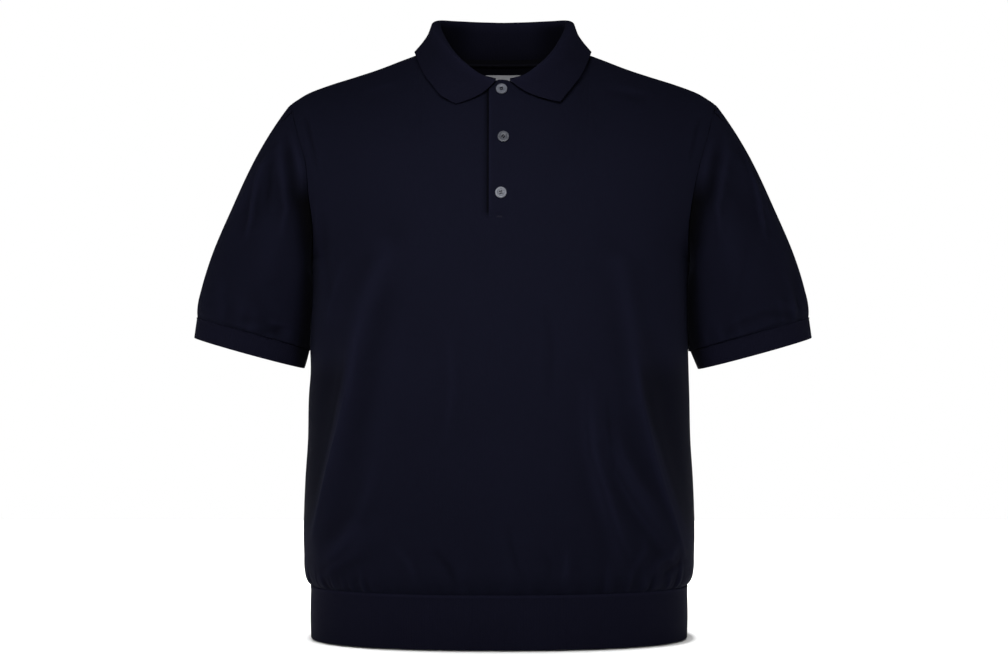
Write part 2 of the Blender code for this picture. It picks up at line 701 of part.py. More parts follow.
def seam_directions(first, second):
    """Directions through two walls at a shared seam, leaning together where they are alike."""
    alike = float(np.dot(first, second))
    lean = min(max((alike + 0.3) / 0.8, 0.0), 1.0)
    results = []
    for own, other in ((first, second), (second, first)):
        mixed = own + lean * other
        mixed = mixed / np.linalg.norm(mixed)
        results.append(mixed / max(float(np.dot(mixed, own)), 0.7))
    return results


def make_cuff(side):
    """One flat cuff band: an oval ring that flares a little towards its free edge."""
    sign = 1.0 if side == "left" else -1.0
    skin = Skin(closed=True, flip=sign < 0)
    count = 3 * (len(UPPER_HEIGHTS) - 1)
    turns = [index / count for index in range(count)]
    for drop in (0.0, CUFF_HEIGHT):
        points = [cuff_point(turn, drop) for turn in turns]
        skin.add_row([(sign * p[0], p[1], p[2]) for p in points], turns)
    normals = shared_normals([skin])[0]
    make_wall("cuff_" + side, skin, normals * BAND_CLOTH, NAVY)


def make_hem_bands():
    """The front and back halves of the waist band."""
    skins = []
    count = 44
    for panel in ("front", "back"):
        turn = 1.0 if panel == "front" else -1.0
        shares = [turn * (2 * index / count - 1) for index in range(count + 1)]
        skin = Skin()
        for row in reversed(BAND_SECTIONS):
            points = [level_point(BAND_SECTIONS, panel, share, row[0]) for share in shares]
            skin.add_row(points, [turn * share for share in shares])
        skins.append(skin)
    for skin, normals, panel in zip(skins, shared_normals(skins), ("front", "back")):
        part_seam(skin, panel)
        make_wall("hem_" + panel, skin, normals * BAND_CLOTH, NAVY)


def part_seam(skin, panel):
    """Moves the points on the side and shoulder seams half a gap to the panel's own side."""
    shift = -SEAM_GAP / 2 if panel == "front" else SEAM_GAP / 2
    for row in skin.rows:
        for _, index in (row[0], row[-1]):
            skin.points[index] = skin.points[index] + np.array([0.0, shift, 0.0])


def part_shoulder(skin, panel):
    """Moves the shoulder seam's points half a gap to the panel's own side."""
    shift = -SEAM_GAP / 2 if panel == "front" else SEAM_GAP / 2
    for place, index in skin.rows[-1][1:-1]:
        if abs(place) > NECK_SHARE - 1e-6:
            skin.points[index] = skin.points[index] + np.array([0.0, shift, 0.0])


def surface_tree(skins):
    points, faces = [], []
    for skin in skins:
        start = len(points)
        points += [Vector(point) for point in skin.points]
        faces += [tuple(index + start for index in face) for face in skin.faces]
    return BVHTree.FromPolygons(points, faces)


def on_front(tree, x, z):
    """The point of the front's skin at x, z, with its outward normal."""
    place, normal, _, _ = tree.ray_cast(Vector((x, -400.0, z)), Vector((0.0, 1.0, 0.0)))
    return np.array(place), np.array(normal)


def make_strip(name, tree, xs, outward):
    """A placket strip: outward(x) is how far its outer face stands off the front's skin."""
    skin = Skin()
    offsets = []
    middle_gap, end_gap = STRIP_TOP_GAPS[name]
    for height in STRIP_HEIGHTS:
        row = []
        for x in xs:
            top = NECK_FRONT.points[:, 2][np.argmin(abs(NECK_FRONT.points[:, 0] - abs(x)))]
            top -= middle_gap + (end_gap - middle_gap) * min(max((abs(x) - 4) / 4.5, 0.0), 1.0)
            point, normal = on_front(tree, x, min(height, top))
            row.append(point + normal * outward(x))
            offsets.append(normal * PLACKET_CLOTH)
        skin.add_row(row, xs)
    make_wall(name, skin, offsets, NAVY)


def make_placket(tree):
    """The upper strip with the free edge, and the under strip behind it in the slot."""
    right = UPPER_STRIP_XS[-1]

    def upper_face(x):
        share = (x - PLACKET_EDGE) / (right - PLACKET_EDGE)
        return (PLACKET_LAP + PLACKET_CLOTH) * (1 - min(max(share, 0.0), 1.0) ** 1.5)

    def under_face(x):
        return upper_face(x) - PLACKET_CLOTH - PLACKET_LAP

    make_strip("placket_over", tree, UPPER_STRIP_XS, upper_face)
    make_strip("placket_under", tree, UNDER_STRIP_XS, under_face)
    return upper_face


def make_button(name, place, normal, hole_turn):
    """A turned button with a dished face and four holes, seated on the placket."""
    radius = BUTTON_DIAMETER / 2
    shape = bmesh.new()
    rings = []
    for share, height in BUTTON_PROFILE:
        ring = []
        for step in range(BUTTON_SIDES):
            angle = 2 * pi * step / BUTTON_SIDES
            ring.append(shape.verts.new((radius * share * cos(angle), radius * share * sin(angle), height)))
        rings.append(ring)
    for low, high in zip(rings, rings[1:]):
        for k in range(BUTTON_SIDES):
            after = (k + 1) % BUTTON_SIDES
            shape.faces.new((low[k], low[after], high[after], high[k]))
    shape.faces.new(list(reversed(rings[0])))
    shape.faces.new(rings[-1])
    bmesh.ops.scale(shape, vec=(MM, MM, MM), verts=shape.verts)
    mesh = bpy.data.meshes.new(name)
    shape.to_mesh(mesh)
    shape.free()
    mesh.materials.append(make_material(name, PEARL))
    button = bpy.data.objects.new(name, mesh)
    bpy.context.scene.collection.objects.link(button)
    mesh.shade_smooth()
    mesh.set_sharp_from_angle(angle=radians(50))
    turn = Vector((0.0, 0.0, 1.0)).rotation_difference(Vector(normal)).to_euler()
    button.location = Vector(place) * MM
    button.rotation_euler = turn
    for number in range(4):
        angle = hole_turn + number * pi / 2
        bpy.ops.mesh.primitive_cylinder_add(vertices=6, radius=HOLE_RADIUS * MM, depth=HOLE_DEPTH * MM)
        cutter = bpy.context.object
        cutter.name = name + "_cut_" + str(number + 1)
        cutter.parent = button
        offset = Vector((HOLE_OFFSET * cos(angle), HOLE_OFFSET * sin(angle), BUTTON_THICKNESS / 2))
        cutter.location = offset * MM
        cutter.hide_render = True
        cutter.display_type = "WIRE"
        hole = button.modifiers.new("hole_" + str(number + 1), "BOOLEAN")
        hole.operation = "DIFFERENCE"
        hole.solver = "EXACT"
        hole.object = cutter


def seam_point(panel, along):
    """A point of the neck seam, on the straight lines between the panel's own columns."""
    columns = [0.0, share_at_x(panel, 1.0, SLOT_HALF_WIDTH)]
    columns += [share for share in SIDE_SHARES if share <= NECK_SHARE]
    corners = np.array([top_point(panel, share) for share in columns])
    corners[0, 0] = 0.0
    places = np.array(columns) / NECK_SHARE
    return np.array([np.interp(along, places, axis) for axis in corners.T])


def collar_values(share):
    """Seam, fold and edge points of the half collar at a share of the way to the back."""
    rows = []
    for index, (seam_share, fold, edge, roll) in enumerate(COLLAR_SECTIONS):
        rows.append((index / (len(COLLAR_SECTIONS) - 1), seam_share, *fold, *edge, roll))
    values = smooth_read(rows, share)
    along = values[0] * (1 + BACK_SEAM_LENGTH)
    if along <= 1:
        seam = seam_point("front", along)
    else:
        seam = seam_point("back", 1 - (along - 1) / BACK_SEAM_LENGTH)
    return seam + np.array([0.0, 0.0, SEAM_STAND]), values[1:4], values[4:7], values[7]


def from_neck_centre(point):
    """Level direction from the middle of the neck to a point."""
    away = np.array([point[0], point[1], 0.0]) - np.array(NECK_CENTRE)
    return away / np.linalg.norm(away)


def collar_column(sign, share):
    """Points across the collar at one place round the neck, and the outward direction there."""
    seam, fold, edge, roll = collar_values(share)
    out = from_neck_centre(fold)
    up = np.array([0.0, 0.0, 1.0])
    centre = fold - up * roll
    inner, start = centre - out * roll, centre + out * roll
    points = [seam, (seam + inner) / 2, inner, centre + (up - out) * roll * 0.7071, fold]
    points += [centre + (up + out) * roll * 0.7071, start]
    near_end = max(0.0, 1 - share / FRONT_END_SHARE)
    edge = edge + near_end * np.array(TIP_SHIFTS[sign])
    bow_way = np.cross(edge - start, out)
    bow_way = bow_way / np.linalg.norm(bow_way) * near_end
    for part, lift, bow in zip(LEAF_PARTS, LEAF_LIFTS, FRONT_BOWS):
        points.append(start * (1 - part) + edge * part + out * lift + bow_way * bow)
    flip = np.array([sign, 1.0, 1.0])
    return [point * flip for point in points], (out + up) / 2 ** 0.5 * flip


def leaf_shortfall(tree, point):
    """How much nearer to the body a point of the leaf lies than it may."""
    seat, normal, _, _ = tree.find_nearest(Vector(point))
    height = float(np.dot(point - np.array(seat), np.array(normal)))
    need = LEAF_CLEARANCE + STRIP_CLEARANCE * window(abs(point[0]), -1.0, 17.0, 8.0)
    need += RIDGE_CLEARANCE * window(point[1], -10.0, 14.0, 16.0)
    return max(need - height, 0.0)


def make_collar(tree):
    """One folded piece: up the neck from the seam, over the roll and down the outside."""
    shares = [index / COLLAR_STEPS for index in range(COLLAR_STEPS + 1)]
    stations = [(1.0, share) for share in shares] + [(-1.0, share) for share in reversed(shares[:-1])]
    columns, lifts = zip(*(collar_column(sign, share) for sign, share in stations))
    for level in range(len(columns[0]) - len(LEAF_PARTS), len(columns[0])):
        for _ in range(3):
            short = np.array([leaf_shortfall(tree, column[level]) for column in columns])
            spread = np.max([np.roll(short, step) for step in (-1, 0, 1)], axis=0)
            eased = (np.roll(spread, 1) + 2 * spread + np.roll(spread, -1)) / 4
            for column, lift, push in zip(columns, lifts, np.maximum(eased, short)):
                column[level] = column[level] + lift * push * 1.15
    skin = Skin()
    places = [index / (len(columns) - 1) for index in range(len(columns))]
    for row in zip(*columns):
        skin.add_row(list(row), places)
    normals = shared_normals([skin])[0]
    make_wall("collar", skin, normals * COLLAR_CLOTH, NAVY)


def make_tape_and_label(tree):
    """The tape over the back neck seam and the bare label below it, both inside the neck."""
    rows = []
    shares = list(np.linspace(-TAPE_REACH, TAPE_REACH, 25))
    for share in shares:
        seam = seam_point("back", abs(share))
        seam[0] *= np.sign(share)
        inward = -from_neck_centre(seam)
        near, spread = TAPE_TOP_INWARD
        top = seam + np.array([0.0, 0.0, TAPE_TOP]) + inward * (near + spread * share * share)
        middle = seam + np.array([0.0, 0.0, TAPE_MIDDLE]) + inward * TAPE_MIDDLE_INWARD
        seat, normal, _, _ = tree.find_nearest(Vector(seam + np.array([0.0, 0.0, TAPE_TOP - TAPE_WIDTH])))
        low = np.array(seat) - np.array(normal) * (CLOTH + TAPE_WALL_GAP + TAPE_CLOTH)
        rows.append(((low, middle, top), inward))
    skin = Skin()
    offsets = []
    for level in range(3):
        skin.add_row([points[level] for points, _ in rows], shares)
        offsets += [inward * TAPE_CLOTH for _, inward in rows]
    make_wall("neck_tape", skin, offsets, TAPE_NAVY)
    skin = Skin()
    offsets = []
    xs = list(np.linspace(-LABEL_WIDTH / 2, LABEL_WIDTH / 2, 7))
    for height in np.linspace(LABEL_TOP_HEIGHT - LABEL_HEIGHT, LABEL_TOP_HEIGHT, 5):
        row = []
        for x in xs:
            place, normal, _, _ = tree.ray_cast(Vector((x, 400.0, height)), Vector((0.0, -1.0, 0.0)))
            row.append(np.array(place) - np.array(normal) * (CLOTH + LABEL_WALL_GAP + LABEL_CLOTH))
            offsets.append(-np.array(normal) * LABEL_CLOTH)
        skin.add_row(row, xs)
    make_wall("label", skin, offsets, LABEL_GREY)


def main():
    for item in list(bpy.data.objects):
        bpy.data.objects.remove(item, do_unlink=True)
    front = make_body_skin("front")
    back = make_body_skin("back")
    sleeves = {side: make_sleeve_skin(side, front, back) for side in ("left", "right")}
    front_tree = surface_tree([front])
    body_tree = surface_tree([front, back])
    front_normals, back_normals = shared_normals([front, back])
    body = {"front": (front, front_normals), "back": (back, back_normals)}
    size = len(UPPER_HEIGHTS)
    for side, sleeve in sleeves.items():
        normals = shared_normals([sleeve])[0]
        ring = sleeve.row_indices(0)
        count = len(ring)
        for number, index in enumerate(ring):
            panel = "front" if number < size else "back"
            skin, panel_normals = body[panel]
            step = number if panel == "front" else count - number
            left_side = (side == "left") == (panel == "front")
            edge = skin.row_indices(-1 - step)[-1 if left_side else 0]
            own, other = seam_directions(panel_normals[edge], normals[index])
            panel_normals[edge] = own
            normals[index] = other
            if number in (0, size - 1):
                twin_skin, twin_normals = body["back" if panel == "front" else "front"]
                twin_left = (side == "left") == (panel != "front")
                twin = twin_skin.row_indices(-1 - number)[-1 if twin_left else 0]
                twin_normals[twin] = own
        make_wall("sleeve_" + side, sleeve, normals * CLOTH, NAVY)
        make_cuff(side)
    for panel, (skin, normals) in body.items():
        part_seam(skin, panel)
        part_shoulder(skin, panel)
        if panel == "front":
            drop_slot(skin)
        make_wall(panel, skin, normals * CLOTH, NAVY)
    make_hem_bands()
    upper_face = make_placket(front_tree)
    for name, x, height, hole_turn in BUTTONS:
        point, normal = on_front(front_tree, x, height)
        make_button(name, point + normal * (upper_face(x) + BUTTON_GAP), normal, hole_turn)
    make_collar(body_tree)
    make_tape_and_label(body_tree)


main()
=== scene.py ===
# %% [markdown]
# # A knitted polo sweater, filled out as worn
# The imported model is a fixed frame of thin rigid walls. This lesson dresses it: each wall is made
# again as a fine cloth sheet on the same form, with its creases, gathers, seams and knit. The
# sweater is knitted from a dark navy yarn. Its panels are plain jersey, and its bands are ribbed.

# %% Load the frame
from math import cos, pi, radians, sin

import bmesh
import bpy
import numpy as np
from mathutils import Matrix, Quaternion, Vector
from mathutils.bvhtree import BVHTree


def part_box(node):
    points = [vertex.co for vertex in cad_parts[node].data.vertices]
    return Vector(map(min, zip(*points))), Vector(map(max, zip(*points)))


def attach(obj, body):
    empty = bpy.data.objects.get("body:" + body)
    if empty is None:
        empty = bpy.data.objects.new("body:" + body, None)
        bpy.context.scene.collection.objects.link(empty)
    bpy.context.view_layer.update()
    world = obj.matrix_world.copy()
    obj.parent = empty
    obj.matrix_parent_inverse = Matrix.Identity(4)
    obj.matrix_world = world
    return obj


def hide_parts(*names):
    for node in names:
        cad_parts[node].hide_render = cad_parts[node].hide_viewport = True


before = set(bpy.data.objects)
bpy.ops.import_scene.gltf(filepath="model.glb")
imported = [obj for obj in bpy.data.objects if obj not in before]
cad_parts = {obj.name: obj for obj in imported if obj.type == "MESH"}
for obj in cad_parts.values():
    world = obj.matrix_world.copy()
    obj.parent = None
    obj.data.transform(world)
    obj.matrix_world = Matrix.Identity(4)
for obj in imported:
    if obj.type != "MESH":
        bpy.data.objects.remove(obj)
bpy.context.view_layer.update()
MM = 0.001

# %% [markdown]
# ## Camera, floor and light
# The sweater is seen straight from the front, from 2.7 m away and level with its middle, so the
# hem and the cuffs curve only a little. The hem touches a white floor, and soft white light comes
# from all round.

# %% Camera
SENSOR_WIDTH = 36.0
VIEW_DISTANCE = 2.7
VIEW_WIDTH = 1.1794
CAMERA_X = 0.0012
CAMERA_HEIGHT = -0.3323

camera_data = bpy.data.cameras.new("camera")
camera_data.sensor_width = SENSOR_WIDTH
camera_data.lens = SENSOR_WIDTH * VIEW_DISTANCE / VIEW_WIDTH
camera = bpy.data.objects.new("camera", camera_data)
camera.location = (CAMERA_X, -VIEW_DISTANCE, CAMERA_HEIGHT)
camera.rotation_euler = (radians(90), 0, 0)
bpy.context.scene.collection.objects.link(camera)
bpy.context.scene.camera = camera
print("lens", round(camera_data.lens, 1), "mm")

# %% Sky and lamps
# Columns: name, place, width, watts, spread in degrees, what it is for. Only the last is held to
# its target.
LAMPS = (
    ("key_light", (-0.12, -1.6, 0.25), 0.6, 2.4, 60.0, "sweater"),
    ("left_light", (2.0, -0.5, -0.15), 0.9, 3.2, 140.0, "sweater"),
    ("right_light", (-2.0, -0.5, -0.15), 0.9, 3.7, 140.0, "sweater"),
    ("top_light", (0.0, -0.3, 1.5), 1.6, 0.5, 140.0, "sweater"),
    ("back_light", (0.0, 2.0, -0.1), 1.2, 6.5, 140.0, "sweater"),
    ("floor_light", (0.0, 0.0, 3.2), 5.0, 400.0, 170.0, "floor"),
)
LIT_POINT = Vector((0.0, 0.0, -0.33))

world = bpy.data.worlds.new("white_sky")
world.use_nodes = True
world.node_tree.nodes["Background"].inputs["Color"].default_value = (1.0, 1.0, 1.0, 1.0)
world.cycles_visibility.diffuse = False
world.cycles_visibility.glossy = False
bpy.context.scene.world = world
bpy.context.scene.view_settings.view_transform = "Standard"
lit = {"floor": bpy.data.collections.new("floor")}
for name, place, width, watts, spread, target in LAMPS:
    lamp_data = bpy.data.lights.new(name, "AREA")
    lamp_data.shape = "DISK"
    lamp_data.size = width
    lamp_data.energy = watts
    lamp_data.spread = radians(spread)
    lamp = bpy.data.objects.new(name, lamp_data)
    lamp.location = place
    lamp.rotation_euler = (LIT_POINT - Vector(place)).to_track_quat("-Z", "Y").to_euler()
    lamp.visible_camera = False
    if target == "floor":
        lamp.light_linking.receiver_collection = lit["floor"]
    bpy.context.scene.collection.objects.link(lamp)
print("lamps:", len(LAMPS))

# %% [markdown]
# ## Shader maths as plain expressions
# Each finish is built from nodes. A small class wraps a socket, so that maths on a pattern reads
# like ordinary Python: `1 - mask * 0.5` adds the Math nodes by itself. One method adds any other
# node from its type, its settings and the values or links of its sockets.


# %% Socket class
def operator(operation, swapped=False):
    """A method that adds one Math node. A swapped one takes its own socket as the second value."""
    def method(self, *others):
        values = (*others, self) if swapped else (self, *others)
        node_type, settings = "ShaderNodeMath", {"operation": operation}
        return self.finish.add(node_type, settings, dict(enumerate(values)))

    return method


class Socket:
    """The output of a node, which adds Math nodes when it is used in an expression."""

    def __init__(self, finish, output):
        self.finish = finish
        self.output = output

    __add__ = __radd__ = operator("ADD")
    __mul__ = __rmul__ = operator("MULTIPLY")
    __sub__, __rsub__ = operator("SUBTRACT"), operator("SUBTRACT", swapped=True)
    __truediv__, __rtruediv__ = operator("DIVIDE"), operator("DIVIDE", swapped=True)
    __pow__, __rpow__ = operator("POWER"), operator("POWER", swapped=True)
    fraction, size = operator("FRACT"), operator("ABSOLUTE")
    sine, at_least = operator("SINE"), operator("MAXIMUM")


# %% Finish class
class Finish:
    """A material and the nodes that give it its pattern."""

    def __init__(self, name):
        self.material = bpy.data.materials.new(name)
        self.material.use_nodes = True
        self.tree = self.material.node_tree
        self.shader = self.tree.nodes["Principled BSDF"]

    def add(self, kind, settings=None, sockets=None, output=0):
        """A new node: its settings first, then the values or links of its sockets."""
        node = self.tree.nodes.new(kind)
        for key, value in (settings or {}).items():
            setattr(node, key, value)
        for key, value in (sockets or {}).items():
            if isinstance(value, Socket):
                self.tree.links.new(value.output, node.inputs[key])
            else:
                node.inputs[key].default_value = value
        return Socket(self, node.outputs[output])

    def set(self, **values):
        """Constant values on the shader's own sockets, named with underscores for spaces."""
        for key, value in values.items():
            self.shader.inputs[key.replace("_", " ")].default_value = value

    def link(self, key, socket):
        """Links a socket to one of the shader's own."""
        self.tree.links.new(socket.output, self.shader.inputs[key])

    def split(self, vector):
        """The three numbers of a vector socket."""
        node = self.add("ShaderNodeSeparateXYZ", None, {0: vector}).output.node
        return [Socket(self, output) for output in node.outputs]

    def place(self):
        """Places on the piece, in metres."""
        return self.add("ShaderNodeTexCoord", output="Object")

    def cloth(self):
        """Metres across the wales and along them, from the piece's own UV map."""
        across, along, _ = self.split(self.add("ShaderNodeTexCoord", output="UV"))
        return across, along

    def noise(self, vector, scale, detail=3.0):
        """Soft random values from 0 to 1."""
        sockets = {"Vector": vector, "Scale": scale, "Detail": detail}
        return self.add("ShaderNodeTexNoise", None, sockets)

    def mix(self, factor, first, second):
        """One colour blended into another."""
        settings = {"data_type": "RGBA"}
        return self.add("ShaderNodeMix", settings, {0: factor, 6: first, 7: second}, 2)

    def bump(self, height, distance, strength=1.0):
        """Relief too fine for the mesh: a height from 0 to 1, and its distance in metres."""
        sockets = {"Height": height, "Distance": distance, "Strength": strength}
        self.link("Normal", self.add("ShaderNodeBump", None, sockets))


print("shader classes ready")

# %% [markdown]
# ## Jersey and rib
# On jersey, upright wales of small V-shaped stitches cover the face. Here a wale is 1.5 mm wide
# and a stitch 1.1 mm high, as on a fine-gauge sweater. The V comes from the distance to the
# middle of the wale, which shifts each stitch down its column. Rib has wider columns with deep
# channels between them. Both follow the UV map, which is laid out in metres along the cloth.

# %% Knit finishes
WALE = 0.0015
COURSE = 0.0011
TAU = 2 * pi
BLACK = (0.0, 0.0, 0.0, 1.0)
# The plain tone: a lower tone is painted shade, a higher one a painted highlight.
PLAIN_TONE = 0.75


def shade_of(colour, factor):
    """A colour made paler or darker, with its alpha."""
    return tuple(value * factor for value in colour) + (1.0,)


def make_knit(name, colour, glow, wale, channel, depth):
    """A knit finish: channel is how deep the gap between wales is, from 0 to 1."""
    finish = Finish(name)
    across, along = finish.cloth()
    wobble = finish.noise(finish.place(), 240.0, 2.0) - 0.5
    wales = across / wale + wobble * 0.35
    from_middle = (wales.fraction() - 0.5).size() * 2
    column = 1 - from_middle ** 3 * channel
    stitch = ((along / COURSE + from_middle * 0.9) * TAU).sine() * 0.5 + 0.5
    relief = column * (stitch * 0.55 + 0.45)
    patches = finish.noise(finish.place(), 9.0, 4.0) - 0.5
    fuzz = finish.noise(finish.place(), 900.0, 2.0) - 0.5
    # Random patches and fuzz vary the colour; the channels between wales and stitches are painted darker, a
    # painted shade in these small recesses.
    shade = relief * 0.22 + patches * 0.5 + fuzz * 0.5 + 0.42
    dark, light = shade_of(colour, 0.72 / PLAIN_TONE), shade_of(colour, 1.22 / PLAIN_TONE)
    # The tone attribute is painted light and shade, set per point on each piece: painted shade in hollows
    # and shadows, painted highlight on ridges and rolled edges.
    tone = finish.add("ShaderNodeAttribute", {"attribute_name": "tone"}, None, 2)
    finish.link("Base Color", finish.mix(tone, BLACK, finish.mix(shade.at_least(0.0), dark, light)))
    finish.bump(relief + fuzz * 0.5, depth, 0.7)
    finish.set(Roughness=0.85, Specular_IOR_Level=0.04, Sheen_Weight=glow, Sheen_Roughness=0.45)
    finish.set(Sheen_Tint=(0.5, 0.55, 0.9, 1.0))
    return finish.material


NAVY = (0.0068, 0.0072, 0.0165)
RIB_NAVY = (0.0071, 0.0072, 0.0168)
jersey = make_knit("navy_jersey", NAVY, 0.012, WALE, 0.75, 0.00022)
rib = make_knit("navy_rib", RIB_NAVY, 0.010, 2 * WALE, 0.95, 0.00030)
print("knit finishes:", jersey.name, rib.name)

# %% Wrong side of the jersey
# The inside's colour is far darker than the face's: the purl's own navy, darkened as a painted shade for
# the little light inside the sweater.
SHADED_PURL_NAVY = (0.0026, 0.0026, 0.0052)


def make_purl():
    """The inside of jersey: rows of small loops that lie across the cloth, darkened by painted shade."""
    finish = Finish("navy_jersey_inside")
    across, along = finish.cloth()
    wobble = finish.noise(finish.place(), 240.0, 2.0) - 0.5
    loops = ((across / WALE + wobble * 0.4) * TAU).sine() * 0.28
    rows = ((along / COURSE + loops) * TAU).sine() * 0.5 + 0.5
    fuzz = finish.noise(finish.place(), 900.0, 2.0) - 0.5
    dark, light = shade_of(SHADED_PURL_NAVY, 0.7), shade_of(SHADED_PURL_NAVY, 1.3)
    finish.link("Base Color", finish.mix((rows * 0.5 + fuzz * 0.6 + 0.25).at_least(0.0), dark, light))
    finish.bump(rows + fuzz * 0.4, 0.0002, 0.7)
    finish.set(Roughness=0.9, Specular_IOR_Level=0.03, Sheen_Weight=0.005, Sheen_Roughness=0.5)
    return finish.material


purl = make_purl()
print("inside finish:", purl.name)

# %% [markdown]
# ## The form of the body
# The form follows the frame's: level sections below the underarm, and above it a surface
# stretched between the last section, the armhole, the centre line and the top edge. Tables give
# the driving shapes in millimetres, and the functions below read them for whole grids at once.

# %% Sizes and seam lines
CLOTH = 1.2
BAND_CLOTH = 1.8
UNDERARM_HEIGHT = -247.0
HEM_SEAM_HEIGHT = -621.4
HEM_BOTTOM_HEIGHT = -683.0
SQUARENESS = 2.3
NECK_SHARE = 0.33
RISE_POWERS = np.array((1.4, 2.4, 1.2))
CORNER_BLUR = 0.09
BLUR_WEIGHTS = ((-2, 0.0625), (-1, 0.25), (0, 0.375), (1, 0.25), (2, 0.0625))
SLOT_HALF_WIDTH = 13.0
SLOT_BOTTOM_HEIGHT = -198.0
SEAM_GAP = 0.2

# Columns: height, centre x, half width, front depth, back depth
BODY_SECTIONS = (
    (-247.0, 0.0, 217.0, 131.0, 120.0),
    (-290.0, -1.0, 217.0, 133.0, 118.0),
    (-345.0, -2.5, 218.5, 134.0, 113.0),
    (-400.0, -4.5, 222.0, 134.5, 110.5),
    (-455.0, -4.5, 223.5, 135.0, 111.0),
    (-500.0, -4.5, 226.5, 135.0, 114.0),
    (-545.0, -4.5, 228.0, 135.0, 118.0),
    (-585.0, -4.5, 227.5, 134.0, 120.5),
    (-604.0, -4.5, 227.0, 133.0, 120.5),
    (-612.0, -4.5, 225.5, 131.0, 119.0),
    (-618.0, -4.5, 222.5, 128.5, 116.0),
    (HEM_SEAM_HEIGHT, -4.5, 219.0, 126.5, 113.0),
)
BAND_SECTIONS = (
    (HEM_SEAM_HEIGHT, -4.5, 219.0, 126.5, 113.0),
    (-660.0, -4.5, 219.6, 127.0, 113.6),
    (HEM_BOTTOM_HEIGHT, -4.5, 218.8, 126.4, 112.8),
)

# Seam lines on the wearer's left. Columns: x, y, z
NECKLINE_FRONT = (
    (0.0, -84.0, -42.8), (15.0, -83.0, -41.9), (38.0, -76.5, -35.5), (60.0, -61.0, -23.0),
    (78.0, -38.0, -10.0), (89.0, -15.0, -2.5), (92.0, 0.0, 0.0),
)
NECKLINE_BACK = (
    (0.0, 62.0, -6.0), (25.0, 60.5, -6.0), (52.0, 53.0, -5.5), (76.0, 37.0, -3.5),
    (88.5, 18.0, -1.0), (92.0, 0.0, 0.0),
)
SHOULDER_SEAM = (
    (92.0, 0.0, 0.0), (118.0, 2.0, -9.4), (145.0, 4.0, -19.5), (172.0, 5.0, -28.3),
    (202.0, 6.0, -37.6), (227.0, 6.0, -47.0), (242.0, 5.0, -56.0), (249.0, 4.0, -61.0),
)
ARMHOLE_FRONT = (
    (217.0, 0.0, -247.0), (215.6, -24.0, -242.0), (213.8, -44.0, -227.0), (213.6, -56.0, -203.0),
    (218.0, -59.0, -170.0), (226.0, -51.0, -136.0), (236.0, -35.0, -104.0), (244.0, -16.0, -78.0),
    (249.0, 4.0, -61.0),
)
ARMHOLE_BACK = (
    (217.0, 0.0, -247.0), (216.0, 26.0, -242.0), (215.5, 47.0, -225.0), (217.0, 60.0, -197.0),
    (222.0, 63.0, -163.0), (230.0, 55.0, -130.0), (239.0, 40.0, -100.0), (246.0, 23.0, -77.0),
    (249.0, 4.0, -61.0),
)
CENTRE_FRONT = (
    (0.0, -131.0, -247.0), (0.0, -128.0, -205.0), (0.0, -121.5, -160.0), (0.0, -112.0, -115.0),
    (0.0, -98.0, -74.0), (0.0, -84.0, -42.8),
)
CENTRE_BACK = (
    (0.0, 120.0, -247.0), (0.0, 119.0, -200.0), (0.0, 115.5, -150.0), (0.0, 108.0, -100.0),
    (0.0, 93.0, -52.0), (0.0, 76.0, -21.0), (0.0, 62.0, -6.0),
)
print("seam lines:", 7)


# %% Curves and tables
def spline(a, b, c, d, s):
    """Places between b and c on a smooth curve through four points, for shares s."""
    bend = (2 * a - 5 * b + 4 * c - d) * s * s + (3 * b - a - 3 * c + d) * s ** 3
    return 0.5 * (2 * b + (c - a) * s + bend)


def blend(start, end, leave, arrive, s):
    """Places between start and end, for shares s, with set slopes at both ends."""
    return ((2 * s ** 3 - 3 * s ** 2 + 1) * start + (3 * s ** 2 - 2 * s ** 3) * end
            + (s ** 3 - 2 * s ** 2 + s) * leave + (s ** 3 - s ** 2) * arrive)


class Curve:
    """A smooth curve through points, read by the share of its length."""

    def __init__(self, points, before=None, after=None, steps=24):
        knots = np.array(points, float)
        first = 2 * knots[0] - knots[1] if before is None else np.array(before, float)
        last = 2 * knots[-1] - knots[-2] if after is None else np.array(after, float)
        padded = np.vstack([first, knots, last])
        s = (np.arange(steps) / steps)[:, None]
        dense = [spline(*four, s) for four in zip(padded, padded[1:], padded[2:], padded[3:])]
        self.points = np.vstack(dense + [knots[-1:]])
        strides = np.linalg.norm(np.diff(self.points, axis=0), axis=1)
        self.length = strides.sum()
        self.shares = np.concatenate([[0.0], np.cumsum(strides)]) / self.length

    def at(self, share):
        """Points at shares of the length."""
        return np.stack([np.interp(share, self.shares, axis) for axis in self.points.T], axis=-1)

    def share_at_height(self, height):
        """Shares of the length at which the curve passes heights."""
        return np.interp(height, self.points[:, 2], self.shares)


def smooth_read(rows, values):
    """Every other column of a table, read smoothly at values of its first column."""
    table = np.array(sorted(rows), float)
    keys = table[:, 0]
    values = np.asarray(values, float)
    index = np.clip(np.searchsorted(keys, values) - 1, 0, len(keys) - 2)
    slopes = np.gradient(table[:, 1:], keys, axis=0)
    span = (keys[index + 1] - keys[index])[..., None]
    s = np.clip((values - keys[index])[..., None] / span, 0, 1)
    leave, arrive = slopes[index] * span, slopes[index + 1] * span
    return blend(table[index, 1:], table[index + 1, 1:], leave, arrive, s)


def mirror(point):
    """The same point on the wearer's other side."""
    return (-point[0], point[1], point[2])


NECK_FRONT = Curve(NECKLINE_FRONT, mirror(NECKLINE_FRONT[1]), NECKLINE_BACK[-2])
NECK_BACK = Curve(NECKLINE_BACK, mirror(NECKLINE_BACK[1]), NECKLINE_FRONT[-2])
SHOULDER = Curve(SHOULDER_SEAM)
PANELS = {
    "front": (NECK_FRONT, Curve(ARMHOLE_FRONT), Curve(CENTRE_FRONT)),
    "back": (NECK_BACK, Curve(ARMHOLE_BACK), Curve(CENTRE_BACK)),
}
print("neck seam", round(2 * (NECK_FRONT.length + NECK_BACK.length)), "mm")


